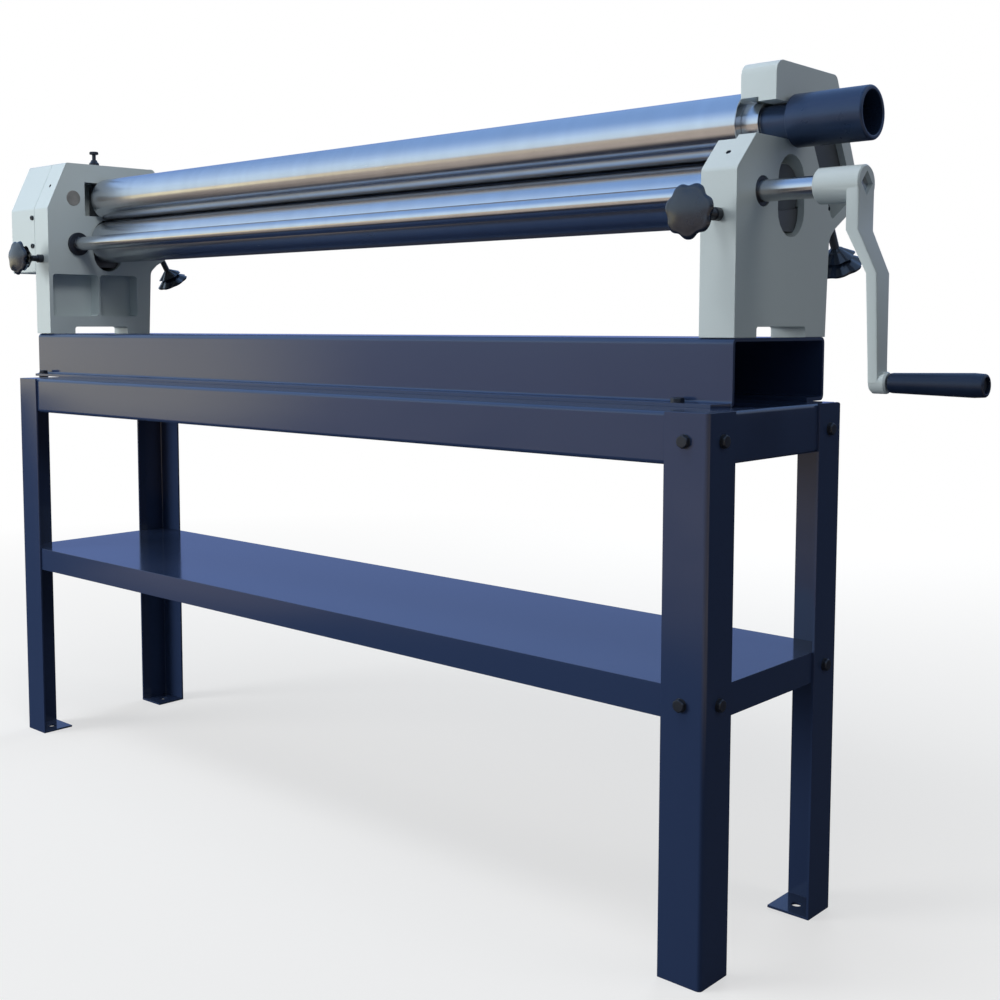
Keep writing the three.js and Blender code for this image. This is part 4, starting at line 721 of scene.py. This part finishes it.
class SLIPROLL_OT_crank_drive(bpy.types.Operator):
    """Crank shaft with its squared end, bushes, grip and the small screws."""
    bl_idname = "slip_roll.crank_drive"
    bl_label = "Crank drive"

    def execute(self, context):
        line = (0, CRANK_Y, CRANK_Z)
        radius, bore, bush = 12, 12.3, 17
        square_start, half_flat = 735.2, 9.0

        def squared(r, t, u):
            flat = half_flat / np.cos(u % (math.pi / 2) - math.pi / 4)
            return np.where(t > square_start, np.minimum(r, flat), r)
        shaft = soft([(-858, 0), (-858, 10, 0.8), (-832, 10), (-832, radius), (735, radius), (735.4, radius),
                      (764.5, radius), (765.5, 11), (765.5, 0)], 4)
        place(turned_piece("shaft_turned", "polished_steel", shaft, line, ALONG_X, 96, squared), "crank_shaft")
        start, end = RIGHT_IN - 2, RIGHT_OUT - 1
        right = soft([(start, bore), (start, bush, 0.6), (end, bush, 0.8), (end, bore), (start, bore)], 3)
        place(turned_piece("bush_right_turned", "blackened_steel", right, line, ALONG_X, 64),
              "crank_bush_right")
        start, end, flange = LEFT_OUT + 1, LEFT_IN + 5, 20.5
        left = soft([(start, bore), (start, bush), (LEFT_IN, bush), (LEFT_IN, flange, 0.3), (end, flange, 1.4),
                     (end, bore), (start, bore)], 4)
        place(turned_piece("bush_left_turned", "blackened_steel", left, line, ALONG_X, 64), "crank_bush_left")

        grip_line = (0, CRANK_Y, CRANK_Z - 206)
        start, end, pocket, bore, mouth = 802, 901, 893.5, 5.3, 8.4
        grip = soft([(start, bore), (start, 10.0, 0.8), (805, 10.5, 3), (866, 11.9, 40), (889, 12.4, 10),
                     (end, 11.6, 2.4), (end, mouth, 0.6), (pocket, mouth), (pocket, bore), (start, bore)], 6)
        place(turned_piece("grip_moulded", "black_plastic", grip, grip_line, ALONG_X, 64,
                           finish="grip_plastic"), "crank_grip")
        start, neck_end, crown = 781.4, 894, 898
        spindle = soft([(start, 0), (start, 5, 0.6), (neck_end, 5), (neck_end, 8, 0.5), (897.2, 8, 1.0),
                        (crown, 6.5, 1), (crown, 0)], 4)
        place(turned_piece("spindle_turned", "blackened_steel", spindle, grip_line, ALONG_X, 48),
              "grip_spindle")

        socket, socket_end, head, stem, tip = 2.2, -1.0, 4.2, 2.5, 14
        profile = soft([(socket_end, 0), (socket_end, socket), (-3, socket), (-3, head, 0.6), (0, head),
                        (0, stem), (tip, stem), (tip, 0)], 3)

        def key_socket(r, t, u):
            return np.where((t < -0.5) & (r < 2.6), sided(6)(r, t, u), r)
        for name, z in (("cover_screw_upper", 889.5), ("cover_screw_lower", 839.5)):
            spot = (LEFT_OUT - 7, LEFT_FRONT, z)
            place(turned_piece(name + "_turned", "blackened_steel", profile, spot, ALONG_Y, 36, key_socket),
                  name)
        return {"FINISHED"}


# Each knob: its station along X, and its face along Y or along the slant
KNOB_FACES = {"knob_front_right": (RIGHT_MID, -107.0), "knob_front_left": (LEFT_MID, -101.0),
              "knob_rear_right": (RIGHT_MID, -68.0), "knob_rear_left": (LEFT_MID, -54.0)}
FRONT_SCREW_END, REAR_SCREW_END = ROLL_Y + 36, 57.0 + 6.5


class SLIPROLL_OT_knobs(bpy.types.Operator):
    """Lobed knobs: the face is t = 3.2 (r / 24)^2, and R = r(t) - notch x depth(t) x (1 - lobe)^1.6 with
    notches that deepen from face to back, lobe = (1 + cos n u) / 2. Their screws carry a real thread,
    R = r - depth x triangle of (t / pitch - u / 2 pi)."""
    bl_idname = "slip_roll.knobs"
    bl_label = "Knobs"

    def execute(self, context):
        s = context.scene.slip_roll_shapes
        outer, notch, pitch, lobes = s.knob_radius / MM, s.knob_notch / MM, s.thread_pitch / MM, s.knob_lobes
        hub, face_edge, face_deep, edge_middle, edge_deep = 17, 24, 3.2, 7.6, 4.4
        crest, thread_deep, thread_start = 5.4, 0.55, 31.4

        def lobed(r, t, u):
            lobe = 0.5 + 0.5 * np.cos(lobes * u)
            deep = 0.45 + 0.55 * np.clip((t - 4) / 9, 0, 1)
            return r - notch * deep * np.clip((r - hub) / (outer - hub), 0, 1) * (1 - lobe) ** 1.6

        def threaded(r, t, u):
            phase = (t / pitch - u / (2 * math.pi)) % 1
            return r - thread_deep * np.abs(2 * phase - 1) * (r > 4.6)
        r = np.linspace(0, face_edge, 13)
        dome = np.stack([face_deep * (r / face_edge) ** 2, r], axis=1)
        a = np.linspace(0.12, math.pi / 2, 8)
        edge = np.stack([edge_middle - edge_deep * np.cos(a),
                         face_edge + (outer - face_edge) * np.sin(a)], axis=1)
        back = soft([(14.0, outer - 0.2, 3.0), (20.0, 22.0, 2.5), (25.5, 13.0, 2), (26.2, 10.4, 0.6),
                     (30, 9.6, 1.0), (30, 0)], 6)
        head = np.concatenate([dome, edge, back])
        for name, (x, face) in KNOB_FACES.items():
            front = "front" in name
            origin = (x, face, 816.0) if front else slanted(x, face)
            way = ALONG_Y if front else SLANT_WAY
            place(turned_piece(name + "_moulded", "black_plastic", head, origin, way, 168, lobed), name)
            if front:
                collar = (RIGHT_FRONT if "right" in name else LEFT_FRONT) - face - 0.3
                far, thread_end = FRONT_SCREW_END - face, collar - 9.2
                boss = soft([(29.5, 0), (29.5, 7.5), (31, 7.5, 0.8), (31.2, 5.2)], 3)
                core = [(collar - 9, 5.2), (collar - 9, 7.5, 0.8), (collar, 7.5), (collar, 5.0), (far - 1, 5.0),
                        (far, 4), (far, 0)]
            else:
                far = REAR_SCREW_END - face
                thread_end = far - 1.2
                boss = soft([(29.5, 0), (29.5, 8.0), (31, 8.0, 0.8), (31.2, crest)], 3)
                core = [(far - 1, crest), (far, 4.4), (far, 0)]
            stations = np.arange(thread_start, thread_end, pitch / 8)
            thread = np.stack([stations, np.full(len(stations), crest)], axis=1)
            profile = np.concatenate([boss, thread, soft(core, 3)])
            stem = turned_piece(name + "_screw", "blackened_steel", profile, origin, way, 40, threaded)
            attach(stem, frame["nodes"][name]["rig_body"])
        return {"FINISHED"}


class SLIPROLL_OT_inner_parts(bpy.types.Operator):
    """Pieces that show little: gears, blocks, wedges and the pivot keep their CAD shapes and get their
    finish."""
    bl_idname = "slip_roll.inner_parts"
    bl_label = "Inner parts"

    def execute(self, context):
        slots = {entry["node"]: entry["material_slot"] for entry in frame["record"]["subparts"]}
        for name, node in frame["nodes"].items():
            if node.hide_render:
                continue
            node.data.materials.clear()
            node.data.materials.append(MATERIALS[slots[name]])
        return {"FINISHED"}


def mirror_rays(n):
    """1 for rays that come off a shiny surface or through glass, 0 for the others."""
    path = n.add("ShaderNodeLightPath")
    return n.maths("MAXIMUM", path.outputs["Is Glossy Ray"], path.outputs["Is Transmission Ray"])


# Tones of the room as metal mirrors it, as (height of the direction, colour): blue sky above, and below it a
# warm far floor in front, a glare at the far left, deep blue behind and a dim wall at the right
SKY = ((0.07, (0.90, 1.08, 1.24)), (0.16, (0.92, 1.14, 1.32)), (0.36, (0.84, 1.10, 1.42)),
       (0.58, (0.55, 0.81, 1.26)), (0.75, (0.33, 0.57, 1.05)))
GLARE = (1.80, 1.62, 1.08)
GLARE_FROM, GLARE_TO = -0.73, -0.80
FRONT_TONES = ((0.0, (0.64, 0.55, 0.47)), *SKY)
LEFT_TONES = ((0.0, GLARE), *SKY)
BACK_TONES = ((0.03, (0.18, 0.25, 0.58)), (0.3, (0.24, 0.37, 0.78)), (0.65, (0.33, 0.57, 1.05)))
RIGHT_TONES = ((0.08, (0.08, 0.085, 0.10)), (0.30, (0.50, 0.62, 0.82)), (0.60, (0.62, 0.82, 1.10)))
WHITE = (1.0, 1.0, 1.0, 1.0)


def floor_paper(look):
    """Paper that the camera sees fade to white. Metal mirrors it as painted light: a near floor dark with
    painted shade, and a far floor with a painted sunlit patch and a painted glare.
    """
    mat = bpy.data.materials.new("floor paper")
    mat.use_nodes = True
    mat.node_tree.nodes.clear()
    n = Nodes(mat.node_tree)
    spot = object_place(n)
    grain = n.noise(spot, 60.0, 2)
    reach = n.add("ShaderNodeVectorMath", {0: spot}, operation="LENGTH").outputs["Value"]
    apart = n.add("ShaderNodeSeparateXYZ", {0: spot})
    camera_ray = n.add("ShaderNodeLightPath").outputs["Is Camera Ray"]
    paper = n.mixed(n.spread(grain, 0.3, 0.7, 0, 0.03), tuple(look.floor), darker(look.floor, 0.9))
    white = n.add("ShaderNodeEmission", {"Color": WHITE, "Strength": 1.0})
    matte = n.add("ShaderNodeBsdfDiffuse", {"Color": paper})
    bounce = n.add("ShaderNodeBsdfDiffuse", {"Color": (*look.bounce, 1.0)})
    # Painted pool of light for mirrors: ahead of the stand and from 1.3 m out the floor glows warm, and nearer
    # it stays dark as painted shade
    ahead = n.maths("ADD", n.maths("MULTIPLY", apart.outputs["X"], 0.55),
                    n.maths("MULTIPLY", apart.outputs["Y"], -1.0))
    sunlit = n.maths("MULTIPLY", n.spread(reach, 1.3, 2.1), n.spread(ahead, -0.1, 0.4))
    clouds = n.mixed(n.spread(n.noise(spot, 2.2, 3, 0.55), 0.40, 0.60), darker(look.horizon, 0.6),
                     darker(look.horizon, 1.45))
    # Painted glare for mirrors: from 5 m out towards the far left the floor glows bright
    leftward = n.spread(n.maths("DIVIDE", apart.outputs["X"], reach), GLARE_FROM, GLARE_TO)
    glare = n.maths("MULTIPLY", n.spread(reach, 5.0, 9.0), leftward)
    # The floor gives off these painted tones to mirrors as light, though it is no lamp: painted shade near the
    # stand, painted sunlit floor and glare beyond
    far = n.mixed(sunlit, tuple(look.near), n.mixed(glare, clouds, GLARE))
    dim = n.add("ShaderNodeEmission", {"Color": far, "Strength": 1.0})
    fade = n.spread(reach, 0.6, 3.0, 0.55, 1.0)
    seen = n.add("ShaderNodeMixShader", {0: fade, 1: matte.outputs[0], 2: white.outputs[0]})
    unseen = n.add("ShaderNodeMixShader", {0: mirror_rays(n), 1: bounce.outputs[0], 2: dim.outputs[0]})
    mixed = n.add("ShaderNodeMixShader", {0: camera_ray, 1: unseen.outputs[0], 2: seen.outputs[0]})
    n.add("ShaderNodeOutputMaterial", {"Surface": mixed.outputs[0]})
    return mat


def room(look):
    """World that is white to the camera, a ring of tones to mirrors and a softly lit room to the rest."""
    world = bpy.data.worlds.new("room")
    world.use_nodes = True
    world.node_tree.nodes.clear()
    n = Nodes(world.node_tree)
    way = n.add("ShaderNodeTexCoord").outputs["Generated"]
    height = n.add("ShaderNodeSeparateXYZ", {0: way}).outputs["Z"]
    front, left, behind = (n.ramp(height, stops) for stops in (FRONT_TONES, LEFT_TONES, BACK_TONES))
    flat = n.add("ShaderNodeVectorMath", {0: way, 1: (1.0, 1.0, 0.0)}, operation="MULTIPLY").outputs[0]
    flat = n.add("ShaderNodeVectorMath", {0: flat}, operation="NORMALIZE").outputs[0]
    flat = n.add("ShaderNodeSeparateXYZ", {0: flat})
    backward = n.spread(flat.outputs["Y"], -0.15, 0.35)
    leftward = n.spread(flat.outputs["X"], GLARE_FROM, GLARE_TO)
    tone = n.mixed(backward, n.mixed(leftward, front, left), behind)
    rightward = n.maths("MULTIPLY", n.spread(flat.outputs["X"], 0.1, 0.5), n.spread(height, 0.95, 0.75))
    tone = n.mixed(rightward, tone, n.ramp(height, RIGHT_TONES))
    seen = n.add("ShaderNodeBackground", {"Color": WHITE, "Strength": 1.0})
    mirrored = n.add("ShaderNodeBackground", {"Color": tone, "Strength": 1.0})
    lit = n.add("ShaderNodeVectorMath", {0: way, 1: (-0.60, -0.74, 0.30)}, operation="DOT_PRODUCT")
    glow = n.mixed(n.spread(lit.outputs["Value"], -0.6, 1.0), (0.066, 0.064, 0.064), (0.90, 0.95, 1.0))
    soft_light = n.add("ShaderNodeBackground", {"Color": glow, "Strength": look.sky})
    unseen = n.add("ShaderNodeMixShader", {0: mirror_rays(n), 1: soft_light.outputs[0], 2: mirrored.outputs[0]})
    camera_ray = n.add("ShaderNodeLightPath").outputs["Is Camera Ray"]
    both = n.add("ShaderNodeMixShader", {0: camera_ray, 1: unseen.outputs[0], 2: seen.outputs[0]})
    n.add("ShaderNodeOutputWorld", {"Surface": both.outputs[0]})
    return world


# The floor's disc in metres, and the points that the lamps face
FLOOR_RADIUS, FLOOR_SIDES = 14, 128
AIM, LEFT_AIM = (0, 0, 0.65), (-0.75, 0.0, 0.85)


class SLIPROLL_OT_studio(bpy.types.Operator):
    """Pale floor that fades into a white room, five soft lamps and the camera"""
    bl_idname = "slip_roll.studio"
    bl_label = "Studio"

    def execute(self, context):
        scene = context.scene
        look = scene.slip_roll_studio
        floor_mesh = bpy.data.meshes.new("floor")
        a = np.linspace(0, 2 * math.pi, FLOOR_SIDES, endpoint=False)
        rim = np.stack([FLOOR_RADIUS * np.cos(a), FLOOR_RADIUS * np.sin(a), 0 * a], axis=1)
        floor_mesh.from_pydata(rim.tolist(), [], [list(range(FLOOR_SIDES))])
        floor = bpy.data.objects.new("floor", floor_mesh)
        scene.collection.objects.link(floor)
        floor_mesh.materials.append(floor_paper(look))
        scene.world = room(look)

        for name, watts, size, spot, tint, at in (
                ("key lamp", look.key_power, 2.2, (-2.6, -3.6, 1.35), (1.0, 0.98, 0.95), AIM),
                ("top lamp", look.top_power, 2.2, (-0.6, -0.4, 2.8), (0.80, 0.91, 1.0), AIM),
                ("side lamp", look.side_power, 1.2, (2.3, 0.5, 1.8), (1.0, 0.95, 0.89), AIM),
                ("back lamp", look.back_power, 1.8, (-1.0, 3.2, 1.4), (0.95, 0.98, 1.0), AIM),
                ("fill lamp", look.fill_power, 0.6, (0.3, -0.7, 1.9), (1.0, 0.98, 0.96), LEFT_AIM)):
            data = bpy.data.lights.new(name, "AREA")
            data.energy, data.size, data.color, data.shape = watts, size, tint, "DISK"
            lamp = bpy.data.objects.new(name, data)
            lamp.location = spot
            lamp.visible_glossy = False
            lamp.rotation_euler = (Vector(at) - Vector(spot)).to_track_quat("-Z", "Y").to_euler()
            scene.collection.objects.link(lamp)

        # The camera that was fitted to the photograph
        eye = bpy.data.cameras.new("camera")
        eye.lens, eye.sensor_width, eye.sensor_fit = 47.8, 36.0, "HORIZONTAL"
        eye.shift_x, eye.shift_y = 0.0412, -0.0621
        camera = bpy.data.objects.new("camera", eye)
        camera.location = STAND + (1.4049, -1.29405, 0.6955)
        camera.rotation_euler = Euler((math.radians(85.2), 0, math.radians(42.8)))
        scene.collection.objects.link(camera)
        scene.camera = camera
        scene.view_settings.view_transform = "Standard"
        return {"FINISHED"}


STEPS = [SLIPROLL_OT_studio, SLIPROLL_OT_stand_parts, SLIPROLL_OT_castings, SLIPROLL_OT_oilers,
         SLIPROLL_OT_bolts, SLIPROLL_OT_rolls, SLIPROLL_OT_handle, SLIPROLL_OT_pivot, SLIPROLL_OT_crank_drive,
         SLIPROLL_OT_knobs, SLIPROLL_OT_inner_parts]


class SLIPROLL_PT_panel(bpy.types.Panel):
    """Sizes, colours and steps of the slip roll"""
    bl_idname = "SLIPROLL_PT_panel"
    bl_label = "Slip roll machine"
    bl_space_type = "VIEW_3D"
    bl_region_type = "UI"
    bl_category = "Slip roll"

    def draw(self, context):
        scene = context.scene
        for group_of in (scene.slip_roll_shapes, scene.slip_roll_colours, scene.slip_roll_studio):
            box = self.layout.box()
            for key in type(group_of).__annotations__:
                box.prop(group_of, key)
        for operator in STEPS:
            self.layout.operator(operator.bl_idname)


CLASSES = [SlipRollShapes, SlipRollColours, SlipRollStudio, *STEPS, SLIPROLL_PT_panel]


def register():
    for cls in CLASSES:
        bpy.utils.register_class(cls)
    bpy.types.Scene.slip_roll_shapes = PointerProperty(type=SlipRollShapes)
    bpy.types.Scene.slip_roll_colours = PointerProperty(type=SlipRollColours)
    bpy.types.Scene.slip_roll_studio = PointerProperty(type=SlipRollStudio)


def unregister():
    for name in ("slip_roll_shapes", "slip_roll_colours", "slip_roll_studio"):
        delattr(bpy.types.Scene, name)
    for cls in reversed(CLASSES):
        bpy.utils.unregister_class(cls)


def main():
    register()
    make_materials(bpy.context.scene.slip_roll_colours)
    bpy.ops.slip_roll.studio()
    bpy.ops.slip_roll.stand_parts()
    bpy.ops.slip_roll.castings()
    bpy.ops.slip_roll.oilers()
    bpy.ops.slip_roll.bolts()
    bpy.ops.slip_roll.rolls()
    bpy.ops.slip_roll.handle()
    bpy.ops.slip_roll.pivot()
    bpy.ops.slip_roll.crank_drive()
    bpy.ops.slip_roll.knobs()
    bpy.ops.slip_roll.inner_parts()


if __name__ == "__main__":
    main()
